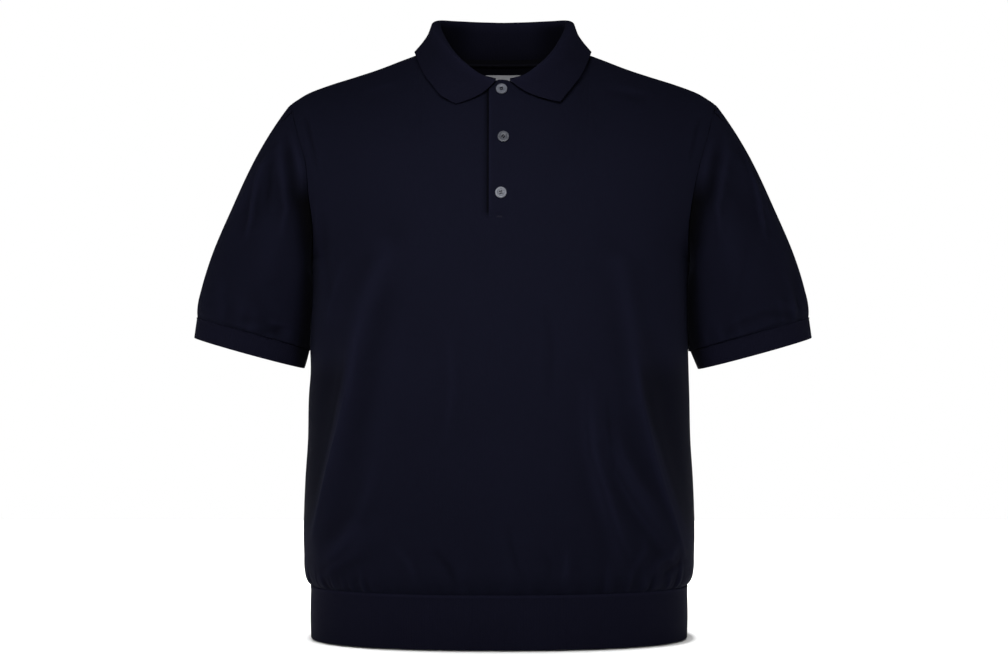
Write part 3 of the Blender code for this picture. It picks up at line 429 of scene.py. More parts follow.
# %% Surfaces of the body
def level_points(sections, panel, share, height):
    """Points of level sections: share runs from -1 at one side seam to 1 at the other."""
    share, height = np.broadcast_arrays(np.asarray(share, float), np.asarray(height, float))
    centre_x, half_width, front, back = np.moveaxis(smooth_read(sections, height), -1, 0)
    angle = share * pi / 2
    power = 2 / SQUARENESS
    across = np.sign(share) * abs(np.sin(angle)) ** power
    depth = np.maximum(np.cos(angle), 0) ** power
    y = -front * depth if panel == "front" else back * depth
    return np.stack([centre_x + half_width * across, y, height], axis=-1)


def top_points(panel, share):
    """Points of a panel's top edge: neckline near the middle, shoulder seam beyond it."""
    size = abs(share)
    neck = PANELS[panel][0].at(size / NECK_SHARE)
    shoulder = SHOULDER.at((size - NECK_SHARE) / (1 - NECK_SHARE))
    points = np.where((size <= NECK_SHARE)[..., None], neck, shoulder)
    points[..., 0] *= np.sign(share)
    return points


def soft_top(panel, share, up):
    """The top edge, with the corner at the neck eased away further down the panel."""
    reach = CORNER_BLUR * (1 - up) ** 0.7
    return sum(weight * top_points(panel, share + step * reach) for step, weight in BLUR_WEIGHTS)


def chest_points(panel, share, up):
    """Points above the underarm, between level section, armhole, centre line and top."""
    share, up = np.broadcast_arrays(np.asarray(share, float), np.asarray(up, float))
    _, armhole, centre = PANELS[panel]
    side = np.where(share < 0, -1.0, 1.0)
    rise = up[..., None] ** RISE_POWERS
    out = (abs(share) ** 1.4)[..., None]
    edge = armhole.at(up)
    depth = abs(level_points(BODY_SECTIONS, panel, 0.0, UNDERARM_HEIGHT)[1])
    wrap = 2 / pi * np.arccos(np.minimum(abs(edge[..., 1]) / depth, 1) ** (SQUARENESS / 2))

    def loft(place):
        bottom = level_points(BODY_SECTIONS, panel, place * wrap, UNDERARM_HEIGHT)
        return (1 - rise) * bottom + rise * soft_top(panel, place, up)

    edge = edge * np.stack([side, np.ones_like(side), np.ones_like(side)], axis=-1)
    middle_shift = centre.at(up) - loft(0 * share)
    edge_shift = edge - loft(side)
    return loft(share) + (1 - out) * middle_shift + out * edge_shift


def share_at_x(panel, up, x):
    """The shares across rows above the underarm at which they pass x."""
    low, high = np.zeros_like(up), np.full_like(up, 0.2)
    for _ in range(24):
        middle = (low + high) / 2
        near = chest_points(panel, middle, up)[..., 0] < x
        low, high = np.where(near, middle, low), np.where(near, high, middle)
    return (low + high) / 2


print("half width at the underarm", level_points(BODY_SECTIONS, "front", 1.0, -247.0)[0], "mm")

# %% [markdown]
# ## Folds, gathers and creases
# A blouson hem holds in more cloth than it is long, so the jersey gathers above it. Long soft
# folds fall from the chest towards the sides. The larger ones are in the frame as well. The
# smaller creases are listed here, each with its own height, width and route, and the back,
# which the photograph doesn't show, has some of its own.

# %% Tables of the folds
# Columns: panel, from angle, to angle, count, depth, reach up the panel
GATHERS = (
    ("front", -76.0, -33.0, 10, 1.3, 30.0),
    ("front", 28.0, 70.0, 6, 1.9, 42.0),
    ("back", -72.0, -36.0, 7, 1.6, 36.0),
    ("back", 34.0, 70.0, 8, 1.4, 32.0),
)
# Columns: panel, height, width, route as x, z points on the panel
FOLDS = (
    ("front", 6.0, 13.0,
     ((-131, -235), (-153, -298), (-171, -371), (-183, -439), (-197, -499), (-214, -570))),
    ("front", -4.0, 15.0, ((-190, -330), (-202, -400), (-212, -470), (-222, -530))),
    ("front", -3.0, 16.0, ((-128, -290), (-146, -370), (-160, -440), (-172, -520))),
    ("front", 6.0, 13.0,
     ((132, -253), (144, -325), (153, -407), (167, -461), (185, -517), (206, -570))),
    ("front", -4.0, 15.0, ((174, -340), (187, -410), (199, -470), (214, -530))),
    ("front", 3.5, 12.0, ((95, -393), (99, -456), (110, -506), (126, -551), (131, -596))),
    ("front", 3.5, 12.0, ((120, -447), (142, -496), (174, -547), (200, -590))),
    ("front", 3.0, 15.0, ((-150, -548), (-182, -572), (-212, -596))),
    ("back", 5.0, 16.0, ((-132, -255), (-158, -340), (-184, -430), (-204, -520), (-214, -580))),
    ("back", 5.0, 16.0, ((120, -240), (150, -330), (182, -430), (202, -530))),
    ("back", -3.5, 18.0, ((-90, -330), (-112, -420), (-120, -520), (-112, -590))),
    ("back", 3.0, 18.0, ((-34, -420), (-22, -500), (-36, -585))),
    ("back", -3.0, 16.0, ((52, -400), (66, -480), (60, -575))),
    ("back", 3.0, 14.0, ((112, -450), (138, -520), (150, -596))),
)
# The small creases, with the same columns
CREASES = (
    ("front", 1.0, 4.0, ((-208, -178), (-207, -220), (-204, -272))),
    ("front", -0.8, 4.5, ((-198, -200), (-196, -250), (-190, -300))),
    ("front", 0.8, 4.0, ((-176, -246), (-190, -290), (-200, -330))),
    ("front", -1.3, 3.0, ((-229, -78), (-224, -95), (-219, -115), (-213, -140))),
    ("front", -1.1, 3.0, ((228, -80), (222, -100), (215, -132))),
    ("front", 2.2, 2.8, ((-157, -318), (-173, -398), (-183, -438), (-200, -495), (-217, -562))),
    ("front", -1.3, 5.0, ((-171, -330), (-185, -398), (-198, -452), (-214, -510))),
    ("front", 1.3, 8.0, ((-146, -476), (-151, -506), (-164, -538), (-182, -572), (-206, -600))),
    ("front", -1.0, 5.0, ((-168, -560), (-186, -584), (-214, -606))),
    ("front", 2.4, 2.8, ((146, -360), (156, -420), (168, -470), (180, -509), (195, -549), (207, -584))),
    ("front", -1.3, 5.0, ((158, -372), (169, -430), (183, -478), (200, -524))),
    ("front", -1.0, 2.4, ((94, -388), (94, -430), (96, -462), (110, -505), (121, -544), (139, -586))),
    ("front", 0.9, 2.6, ((100, -430), (103, -468), (117, -508), (128, -544), (143, -580))),
    ("front", -1.0, 2.4, ((117, -404), (119, -436), (124, -479), (147, -518), (168, -548))),
    ("front", 1.0, 3.0, ((121, -456), (128, -491), (145, -523), (173, -563), (202, -603))),
    ("front", 0.7, 2.6, ((128, -436), (134, -466), (154, -502), (176, -530))),
    ("front", 1.2, 4.0, ((141, -606), (150, -590), (160, -574), (158, -556))),
    ("front", 1.6, 4.0, ((166, -604), (176, -588), (190, -582), (198, -570))),
    ("front", -1.6, 4.0, ((180, -606), (192, -596), (204, -590))),
    ("front", 1.2, 4.0, ((66, -612), (70, -596), (72, -570))),
    ("front", -0.7, 3.4, ((6, -545), (9, -565), (15, -588), (27, -612))),
    ("front", -0.6, 3.6, ((44, -570), (52, -590), (48, -610))),
    ("front", -1.2, 4.0, ((-52, -612), (-60, -590), (-78, -570))),
    ("front", 1.0, 4.0, ((-96, -612), (-104, -588), (-122, -566))),
    ("front", 1.4, 5.0, ((-212, -612), (-190, -592), (-160, -574))),
    ("front", 0.7, 3.5, ((128, -44), (150, -47), (172, -52))),
    ("front", -0.7, 3.5, ((118, -52), (142, -56), (166, -60))),
    ("front", 0.6, 3.5, ((-160, -50), (-138, -44), (-120, -40))),
    ("front", 0.7, 5.0, ((-60, -330), (-56, -390), (-64, -450))),
    ("front", -0.6, 5.0, ((48, -300), (54, -352), (50, -400))),
    ("back", 1.2, 4.5, ((-206, -170), (-204, -215), (-196, -268))),
    ("back", 1.2, 4.5, ((204, -184), (202, -226), (198, -262))),
    ("back", -1.0, 5.0, ((150, -300), (168, -360), (176, -420))),
    ("back", 1.0, 5.0, ((-60, -60), (-84, -84), (-120, -104))),
    ("back", 0.9, 5.0, ((66, -58), (92, -88), (124, -100))),
    ("back", 1.5, 4.5, ((-140, -612), (-150, -590), (-168, -566))),
    ("back", 1.4, 4.5, ((-30, -612), (-26, -588), (-38, -560))),
    ("back", -1.4, 4.5, ((24, -612), (30, -590), (26, -566))),
    ("back", 1.4, 5.0, ((92, -612), (98, -586), (112, -560))),
)
print(len(FOLDS), "folds and", len(CREASES), "creases")


# %% Reading the folds
def window(value, start, end, edge):
    """1 between start and end, falling smoothly to 0 over the edge outside them."""
    inside = np.clip((value - start) / edge + 1, 0, 1) * np.clip((end - value) / edge + 1, 0, 1)
    return inside * inside * (3 - 2 * inside)


def route_distance(x, z, route):
    """Distance from points to a route, and the share of the route at its nearest point."""
    best = np.full(np.shape(x), 1e9)
    place = np.zeros(np.shape(x))
    count = len(route) - 1
    for index in range(count):
        (ax, az), (bx, bz) = route[index], route[index + 1]
        length = (bx - ax) ** 2 + (bz - az) ** 2
        s = np.clip(((x - ax) * (bx - ax) + (z - az) * (bz - az)) / length, 0, 1)
        distance = np.hypot(x - ax - s * (bx - ax), z - az - s * (bz - az))
        place = np.where(distance < best, (index + s) / count, place)
        best = np.minimum(best, distance)
    return best, place


def fold_height(panel, points, rows):
    """How far the folds of one table stand out at the points of a panel."""
    x, z = points[..., 0], points[..., 2]
    total = np.zeros(x.shape)
    for side, height, width, route in rows:
        if side == panel:
            distance, place = route_distance(x, z, route)
            taper = np.sin(pi * (0.05 + 0.9 * place)) ** 0.7
            total += height * taper * np.exp(-(distance / width) ** 2)
    return total


def gather_height(panel, share, z):
    """How far the gathers above the hem seam stand out."""
    total = np.zeros(share.shape)
    for side, start, end, count, depth, reach in GATHERS:
        if side == panel:
            place = (share * 90 - start) / (end - start)
            uneven = place + 0.018 * np.sin(9 * place * pi) + 0.01 * np.sin(17 * place * pi)
            above = z - HEM_SEAM_HEIGHT
            length = reach * (0.75 + 0.25 * np.sin(23 * place + 1))
            upward = np.maximum(0, 1 - above / length) * (0.25 + 0.75 * np.clip(above / 8, 0, 1))
            strength = 0.75 + 0.25 * np.sin(5.3 * place * pi + 1)
            wave = np.sin(TAU * count * uneven)
            total += depth * strength * upward * window(place, 0.03, 0.97, 0.06) * wave
    return total


# Fine gathers along the whole seam. Columns: waves across half a panel, depth, reach
RIPPLES = ((31, 0.35, 15.0), (47, 0.25, 9.0), (13, 0.5, 26.0))


def ripple_height(share, z):
    """How far the fine gathers of the whole seam stand out."""
    total = 0.0
    for count, depth, reach in RIPPLES:
        uneven = share + 0.02 * np.sin(11 * share + count)
        upward = np.exp(-(z - HEM_SEAM_HEIGHT) / reach) * (0.6 + 0.4 * np.sin(7 * share + count))
        total += depth * upward * np.sin(pi * count * uneven)
    return total


print("fold readers ready")


# %% [markdown]
# ## From grids to cloth
# Each cloth piece is a grid of points: rows run along the cloth, columns across it. A helper
# makes the mesh with a UV map in metres, so the knit keeps its gauge on every piece, and a
# Solidify modifier gives the sheet its thickness on the inside. Every piece is declared as a
# sheet, with the flat size of what shows of it, and takes the place of its rigid wall.

# %% Cloth helpers
def grid_normals(points, closed=False):
    """Normals of a grid of points, from its own rows and columns."""
    if closed:
        across = np.roll(points, -1, axis=1) - np.roll(points, 1, axis=1)
    else:
        across = np.gradient(points, axis=1)
    along = np.gradient(points, axis=0)
    normals = np.cross(across, along)
    return normals / np.maximum(np.linalg.norm(normals, axis=-1, keepdims=True), 1e-9)


def run_lengths(points, axis):
    """Distances along the columns (axis 0) or rows (axis 1) of a grid, from its edge."""
    strides = np.linalg.norm(np.diff(points, axis=axis), axis=-1)
    return np.cumsum(np.insert(strides, 0, 0.0, axis=axis), axis=axis)


def cloth_map(points):
    """UV in metres: level distance from the middle column, and distance up from the first row."""
    across = run_lengths(points[..., :2], 1)
    middle = points.shape[1] // 2
    across = across - across[:, middle:middle + 1]
    return np.stack([across, run_lengths(points, 0)], axis=-1) * MM


def ring_map(points, girth):
    """UV in metres on a closed grid: its girth shared out evenly, and distance from the first row."""
    along = run_lengths(points, 0) * MM
    along = np.concatenate([along, along[:, :1]], axis=1)
    across = np.linspace(0, girth, along.shape[1])[None, :] + 0 * along
    return np.stack([across, along], axis=-1)


def make_cloth(name, points, uv, finish, closed=False, flip=False, keep=None, tone=PLAIN_TONE):
    """A sheet from a grid of points in millimetres. A closed grid joins its last column."""
    rows, columns = points.shape[:2]
    steps = columns if closed else columns - 1
    faces, corners = [], []
    for row in range(rows - 1):
        for step in range(steps):
            if keep is not None and not keep[row, step]:
                continue
            after = (step + 1) % columns
            face = [row * columns + step, row * columns + after,
                    (row + 1) * columns + after, (row + 1) * columns + step]
            corner = [(row, step), (row, step + 1), (row + 1, step + 1), (row + 1, step)]
            faces.append(face[::-1] if flip else face)
            corners += corner[::-1] if flip else corner
    mesh = bpy.data.meshes.new(name)
    mesh.from_pydata((points.reshape(-1, 3) * MM).tolist(), [], faces)
    picked = np.array(corners)
    layer = mesh.uv_layers.new(name="cloth")
    layer.data.foreach_set("uv", uv[picked[:, 0], picked[:, 1]].astype(np.float32).ravel())
    # The tone attribute holds each point's painted light and shade.
    shade = mesh.attributes.new(name="tone", type="FLOAT", domain="POINT")
    shade.data.foreach_set("value", np.broadcast_to(tone, (rows, columns)).astype(np.float32).ravel())
    mesh.materials.append(finish)
    piece = bpy.data.objects.new(name, mesh)
    bpy.context.scene.collection.objects.link(piece)
    loose = bmesh.new()
    loose.from_mesh(mesh)
    bmesh.ops.delete(loose, geom=[v for v in loose.verts if not v.link_faces], context="VERTS")
    loose.to_mesh(mesh)
    loose.free()
    return piece


def pick(piece):
    """Selects one piece alone and makes it active."""
    bpy.ops.object.select_all(action="DESELECT")
    piece.select_set(True)
    bpy.context.view_layer.objects.active = piece


def apply_modifier(piece, kind, **settings):
    """Adds a modifier to a piece and applies it."""
    pick(piece)
    modifier = piece.modifiers.new(kind.lower(), kind)
    for key, value in settings.items():
        setattr(modifier, key, value)
    bpy.ops.object.modifier_apply(modifier=modifier.name)


def finish_cloth(piece, thickness, node, flat):
    """Gives a sheet its thickness and joins it to the frame in place of its rigid wall.

    It prints the flat size that it is given, in metres.
    """
    inside = min(len(piece.data.materials) - 1, 1)
    apply_modifier(piece, "SOLIDIFY", thickness=thickness * MM, offset=-1, material_offset=inside)
    pick(piece)
    bpy.ops.object.shade_smooth_by_angle(angle=radians(50))
    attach(piece, "root")
    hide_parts(node)
    print(piece.name, len(piece.data.polygons), "faces, flat size", flat, "metres")


def flat_size(points, closed=False):
    """The longest row and the longest column of a grid, in metres."""
    ring = np.concatenate([points, points[:, :1]], axis=1) if closed else points
    longest = run_lengths(ring, 1)[:, -1].max(), run_lengths(points, 0)[-1].max()
    return tuple(round(float(length) * MM, 4) for length in longest)


# %% [markdown]
# ## Front and back panels
# Both panels come from one function. Rows lie close together above the hem seam and along the
# seams, where the cloth changes most. The cloth dips a little into each seam, which is what makes
# a linked seam show as a soft line. The front has a slot for the placket.

# %% Panel grids
SLOT_COLUMNS = 4
NECK_COLUMNS = 38
SIDE_COLUMNS = 100
SEAM_SHARES = (0.0035, 0.008, 0.014)
GATHER_ROW = 1.9
LOWER_ROW = 4.4
UPPER_ROWS = 48
SEAM_DIP = 0.5
SEAM_DIP_WIDTH = 1.7
HALF_PANEL = 290.0
GATHERS_TOP = -583.0
SLOT_EDGE_PLACES = (1.012, 1.024, 1.036, 1.048, 1.06, 1.075)
RELIEF_STEPS = 24
RIGHT_LEAN = 5.2
RELIEF_SHADE = 0.3
TONE_LIMITS = (0.42, 1.0)


def panel_columns():
    """Places of the columns on the wearer's left: 1 is the slot's edge, 2 the neck, 3 the side."""
    side = np.linspace(2, 3, SIDE_COLUMNS)
    extra = [3 - share / (1 - NECK_SHARE) for share in SEAM_SHARES]
    half = np.concatenate([np.linspace(0, 1, SLOT_COLUMNS)[1:], np.linspace(1, 2, NECK_COLUMNS)[1:],
                           side[1:], extra, SLOT_EDGE_PLACES])
    half = np.unique(np.round(half, 6))
    return np.concatenate([-half[::-1], [0.0], half])


def panel_shares(panel, up):
    """Shares across each row for the panel's columns."""
    places = panel_columns()[None, :]
    slot = share_at_x(panel, up, SLOT_HALF_WIDTH)[:, None]
    size = abs(places)
    share = np.where(size <= 1, slot * size, slot + (size - 1) * (NECK_SHARE - slot))
    share = np.where(size > 2, NECK_SHARE + (size - 2) * (1 - NECK_SHARE), share)
    return np.sign(places) * share


def panel_rows(panel):
    """Heights of the rows below the underarm, and shares up the centre line above it."""
    near = np.arange(HEM_SEAM_HEIGHT, GATHERS_TOP, GATHER_ROW)
    count = int((UNDERARM_HEIGHT - near[-1]) / LOWER_ROW)
    far = np.linspace(near[-1], UNDERARM_HEIGHT, count)[1:-1]
    up = np.linspace(0, 1, UPPER_ROWS)
    up = np.concatenate([up[:-1], [1 - 0.012, 1 - 0.005, 1.0]])
    if panel == "front":
        slot_up = float(PANELS[panel][2].share_at_height(SLOT_BOTTOM_HEIGHT))
        up[np.argmin(abs(up - slot_up))] = slot_up
    return np.concatenate([near, far]), up


def seam_dip(distance):
    """How far the cloth dips at a distance from a seam."""
    return SEAM_DIP * np.exp(-(distance / SEAM_DIP_WIDTH) ** 2)


def blur(values, steps):
    """A grid of values, each eased into its neighbours a number of times."""
    for _ in range(steps):
        padded = np.pad(values, 1, mode="edge")
        level = (padded[1:-1, :-2] + 2 * padded[1:-1, 1:-1] + padded[1:-1, 2:]) / 4
        padded = np.pad(level, 1, mode="edge")
        values = (padded[:-2, 1:-1] + 2 * level + padded[2:, 1:-1]) / 4
    return values


def relief_painted_shade(push):
    """Painted light and shade of folds: ridges painted paler, hollows painted darker."""
    relief = push - blur(push, RELIEF_STEPS)
    return np.clip(PLAIN_TONE * (1 + RELIEF_SHADE * relief), *TONE_LIMITS)


def lean_right(points):
    """The wearer's right side seam hangs a few millimetres further out, from armhole to waist."""
    x, z = points[..., 0], points[..., 2]
    reach = np.where(x > -205, window(x, -205.0, -205.0, 85.0), window(x, -219.0, -205.0, 24.0))
    points = points.copy()
    points[..., 0] -= RIGHT_LEAN * reach * window(z, -330.0, -178.0, 55.0)
    return points


def make_panel_grid(panel):
    """The panel's outer surface with its folds, and the painted light and shade at each point."""
    heights, up = panel_rows(panel)
    low_shares = np.repeat(panel_shares(panel, np.zeros(1)), len(heights), axis=0)
    high_shares = panel_shares(panel, up)
    low = level_points(BODY_SECTIONS, panel, low_shares, heights[:, None])
    high = chest_points(panel, high_shares, up[:, None])
    points, shares = np.vstack([low, high]), np.vstack([low_shares, high_shares])
    ups = np.concatenate([np.zeros(len(heights)), up])[:, None]
    normals = grid_normals(points) * (1 if panel == "front" else -1)
    z = points[..., 2]
    push = fold_height(panel, points, FOLDS) + gather_height(panel, shares, z)
    push += fold_height(panel, points, CREASES) + ripple_height(shares, z)
    push *= window(abs(shares), -1, 0.93, 0.07)
    push = np.where(z <= HEM_SEAM_HEIGHT + 0.1, push * 0.3, push)
    to_side = (1 - abs(shares)) * HALF_PANEL
    to_top = (1 - ups) * PANELS[panel][2].length
    # Painted shade in the folds' hollows, painted highlight on their ridges.
    tone = relief_painted_shade(push)
    push -= seam_dip(to_side) + seam_dip(to_top)
    return lean_right(points + normals * push[..., None]), tone


grids = {panel: make_panel_grid(panel) for panel in ("front", "back")}
print({panel: grid[0].shape for panel, grid in grids.items()})

# %% Front and back pieces
# Longest level row, and the column down from the high shoulder point
PANEL_FLATS = {"front": (0.60, 0.67), "back": (0.575, 0.67)}
SHADOW_LINE = -16.9
SHADOW_WIDTH = 1.3
SHADOW_REACH = 3.0
SIDE_SHADE = 0.46
SIDE_SHADE_EDGE = 5.0
SIDE_SHADE_HEIGHTS = (-535.0, -385.0, 35.0)
# Columns: height, the ridge's distance from the middle on the wearer's right, and on the left
SIDE_RIDGES = (
    (-577.0, 226.0, 213.0), (-530.0, 213.0, 199.0), (-495.0, 205.5, 187.0), (-461.0, 199.0, 177.0),
    (-438.0, 192.0, 167.0), (-416.0, 186.0, 160.0), (-393.0, 181.0, 155.0), (-350.0, 172.0, 150.0),
)


def slot_shadow(points):
    """How dark the front lies beside the placket's free edge."""
    x, z = points[..., 0], points[..., 2]
    line = 0.72 * np.exp(-((x - SHADOW_LINE) / SHADOW_WIDTH) ** 2)
    line += 0.3 * window(x, SHADOW_LINE - SHADOW_REACH, SHADOW_LINE, SHADOW_REACH)
    return 1 - line.clip(0, 0.8) * window(z, SLOT_BOTTOM_HEIGHT + 4, 0.0, 6.0)


def side_shade(points):
    """How dark the sides lie beyond the long ridge that runs down each of them."""
    x, z = points[..., 0], points[..., 2]
    heights, right, left = np.array(SIDE_RIDGES).T
    line = np.where(x < 0, np.interp(z, heights, right), np.interp(z, heights, left))
    beyond = np.clip((abs(x) - line) / SIDE_SHADE_EDGE, 0, 1)
    return 1 - SIDE_SHADE * beyond * window(z, *SIDE_SHADE_HEIGHTS)


def make_panel(panel):
    """The front or the back, as one sheet. The front has a slot for the placket."""
    points, tone = grids[panel]
    if panel == "front":
        tone = tone * slot_shadow(points) * side_shade(points)
    centres = (points[:-1, :-1] + points[1:, 1:]) / 2
    in_slot = (abs(centres[..., 0]) < SLOT_HALF_WIDTH) & (centres[..., 2] > SLOT_BOTTOM_HEIGHT)
    keep = None if panel == "back" else ~in_slot
    piece = make_cloth("jersey_" + panel, points, cloth_map(points), jersey,
                       flip=panel == "back", keep=keep, tone=tone)
    piece.data.materials.append(purl)
    finish_cloth(piece, CLOTH, panel, PANEL_FLATS[panel])


for panel in ("front", "back"):
    make_panel(panel)

# %% [markdown]
# ## Sleeves and cuffs
# A sleeve runs from the armhole to its cuff. Each line along it is a smooth blend that leaves the
# armhole in a set direction and reaches the cuff straight down its axis, so the sleeve hangs in a
# soft curve and swells over the cuff. The grid starts at the underarm, where the real seam is.
# Where the sleeve would run into the body it is laid just off it, and it is darker there.

# %% Sleeve tables
CUFF_TILT = radians(15.5)
CUFF_HEIGHT = 24.0
CUFF_BOTTOM = np.array((297.0, -2.0, -352.0))
CUFF_WIDTH = 131.0
CUFF_DEPTH = 114.0
CUFF_FLARE = 2.5
CUFF_WIDENING = 3.2
CUFF_INWARD = {"left": 5.5, "right": 1.8}
SLEEVE_PULL = 280.0
# Girth square to the arm below the armhole, and the line down from the top of the cap
SLEEVE_FLAT = (0.48, 0.275)
SLEEVE_GIRTH = 0.45
SLEEVE_LENGTH = 190.0
UNDERARM_PULL_SHARE = 0.36
UPPER_HEIGHTS = (
    -247.0, -231.0, -214.5, -198.0, -180.0, -162.0, -144.0, -126.0, -108.0, -91.0, -74.0, -59.0, -42.8,
)

# Columns: share along the sleeve, outside, front and back, inside
SLEEVE_SWELL = (
    (0.0, 0.0, 0.0, 0.0), (0.08, 0.3, 0.6, 4.0), (0.25, 0.7, 3.0, 14.0), (0.5, 1.2, 4.0, 15.0),
    (0.75, 4.8, 5.0, 10.0), (0.88, 4.7, 5.0, 6.0), (0.95, 3.6, 4.5, 3.0), (0.985, 1.5, 3.0, 1.0),
    (1.0, 0.0, 0.0, 0.0),
)
# Columns: turn round the sleeve (0 at the top, 0.25 at the front), x, y, z
SLEEVE_STARTS = (
    (0.0, 0.60, 0.0, -0.80), (0.25, 0.74, -0.05, -0.67), (0.5, 0.42, 0.0, -0.91),
    (0.75, 0.74, 0.05, -0.67), (1.0, 0.60, 0.0, -0.80),
)
# A fold wider than NARROW_FOLD turns runs softly along the sleeve, and a narrower one ends sharply
NARROW_FOLD = 0.03
FOLD_LENGTH_SCALE = 4.0
NARROW_LENGTH_SCALE = 0.15
# Columns: side, height, width in turns, route as turn and share along the sleeve
SLEEVE_FOLDS = (
    ("right", 3.5, 0.035, ((0.07, 0.16), (0.09, 0.36), (0.10, 0.52))),
    ("right", -2.5, 0.04, ((0.15, 0.14), (0.17, 0.34), (0.18, 0.50))),
    ("right", 2.5, 0.04, ((0.27, 0.20), (0.26, 0.45), (0.28, 0.66))),
    ("right", 3.0, 0.05, ((0.80, 0.20), (0.78, 0.50), (0.80, 0.75))),
    ("left", 3.5, 0.035, ((0.08, 0.16), (0.10, 0.36), (0.11, 0.60))),
    ("left", -2.5, 0.04, ((0.16, 0.16), (0.18, 0.36), (0.17, 0.55))),
    ("left", 2.5, 0.04, ((0.28, 0.25), (0.27, 0.45), (0.25, 0.62))),
    ("left", 3.0, 0.05, ((0.76, 0.18), (0.80, 0.46), (0.78, 0.72))),
    ("right", 1.0, 0.012, ((0.19, 0.86), (0.23, 0.92), (0.28, 0.985))),
    ("right", -1.0, 0.012, ((0.24, 0.84), (0.28, 0.90), (0.33, 0.975))),
    ("right", 1.0, 0.012, ((0.12, 0.80), (0.15, 0.88), (0.17, 0.98))),
    ("right", 0.9, 0.010, ((0.33, 0.90), (0.36, 0.95), (0.39, 0.99))),
    ("left", 1.2, 0.012, ((0.03, 0.78), (0.07, 0.88), (0.05, 0.97))),
    ("left", -1.2, 0.012, ((0.06, 0.80), (0.11, 0.88), (0.10, 0.97))),
    ("left", 1.2, 0.012, ((0.13, 0.82), (0.12, 0.90), (0.15, 0.98))),
    ("left", 1.0, 0.012, ((0.27, 0.93), (0.31, 0.96), (0.36, 0.985))),
    ("left", 1.0, 0.012, ((0.33, 0.88), (0.38, 0.94), (0.41, 0.985))),
    ("right", 0.8, 0.014, ((0.36, 0.05), (0.37, 0.25), (0.36, 0.45))),
    ("left", 0.8, 0.014, ((0.37, 0.06), (0.38, 0.22), (0.37, 0.40))),
    ("right", 1.0, 0.014, ((0.68, 0.80), (0.71, 0.90), (0.70, 0.985))),
    ("left", 1.0, 0.014, ((0.66, 0.82), (0.70, 0.91), (0.72, 0.985))),
)
# Columns: side, height, width in millimetres, route as turn and share along the sleeve
SLEEVE_CREASES = (
    ("right", 3.2, 4.5, ((0.086, 0.22), (0.123, 0.32), (0.159, 0.44), (0.17, 0.52))),
    ("right", 2.2, 5.0, ((0.075, 0.09), (0.168, 0.144), (0.245, 0.184), (0.27, 0.30))),
    ("right", -2.0, 6.0, ((0.11, 0.07), (0.18, 0.09), (0.236, 0.105))),
    ("right", 1.6, 4.0, ((0.09, 0.03), (0.18, 0.03), (0.27, 0.035))),
    ("right", -1.6, 6.0, ((0.10, 0.17), (0.15, 0.23), (0.19, 0.31))),
    ("right", -1.3, 4.0, ((0.21, 0.935), (0.29, 0.925), (0.345, 0.945))),
    ("right", 1.0, 4.0, ((0.22, 0.975), (0.28, 0.93), (0.335, 0.885))),
    ("right", -1.0, 3.5, ((0.25, 0.98), (0.305, 0.94), (0.35, 0.895))),
    ("right", 1.6, 5.5, ((0.91, 0.12), (0.84, 0.19), (0.77, 0.30))),
    ("right", -1.4, 6.0, ((0.88, 0.10), (0.80, 0.14), (0.74, 0.20))),
    ("left", 3.0, 4.5, ((0.036, 0.21), (0.09, 0.31), (0.13, 0.43), (0.15, 0.55))),
    ("left", 2.0, 5.0, ((0.073, 0.10), (0.173, 0.14), (0.245, 0.17), (0.28, 0.27))),
    ("left", -2.0, 6.0, ((0.12, 0.07), (0.19, 0.085), (0.25, 0.10))),
    ("left", 0.9, 4.0, ((0.10, 0.03), (0.18, 0.03), (0.265, 0.035))),
    ("left", -1.3, 4.0, ((0.20, 0.93), (0.27, 0.92), (0.33, 0.94))),
    ("left", 1.0, 4.0, ((0.10, 0.97), (0.15, 0.92), (0.19, 0.88))),
    ("left", -1.0, 3.5, ((0.13, 0.975), (0.19, 0.935), (0.24, 0.90))),
    ("left", 1.6, 5.5, ((0.93, 0.10), (0.86, 0.17), (0.78, 0.27))),
    ("left", -1.4, 6.0, ((0.89, 0.09), (0.82, 0.13), (0.75, 0.18))),
)
# Columns: side, from turn, to turn, count, depth
SLEEVE_PUCKERS = (
    ("right", 0.16, 0.42, 6, 0.45), ("right", 0.62, 0.90, 6, 0.9),
    ("left", 0.04, 0.20, 4, 0.5), ("left", 0.28, 0.46, 4, 0.5), ("left", 0.60, 0.88, 6, 0.9),
)
print(len(SLEEVE_FOLDS), "sleeve folds")


# %% Search trees of the body
def grid_tree(grids_in):
    """A search tree of the outer surfaces of some grids."""
    corners, faces = [], []
    for points in grids_in:
        rows, columns = points.shape[:2]
        index = len(corners) + np.arange(rows * columns).reshape(rows, columns)
        corners += points.reshape(-1, 3).tolist()
        quads = np.stack([index[:-1, :-1], index[:-1, 1:], index[1:, 1:], index[1:, :-1]], axis=-1)
        faces += quads.reshape(-1, 4).tolist()
    return BVHTree.FromPolygons(corners, faces)


front_grid, back_grid = grids["front"][0], grids["back"][0]
front_tree = grid_tree([front_grid])
body_tree = grid_tree([front_grid, back_grid[:, ::-1]])
print("search trees ready")


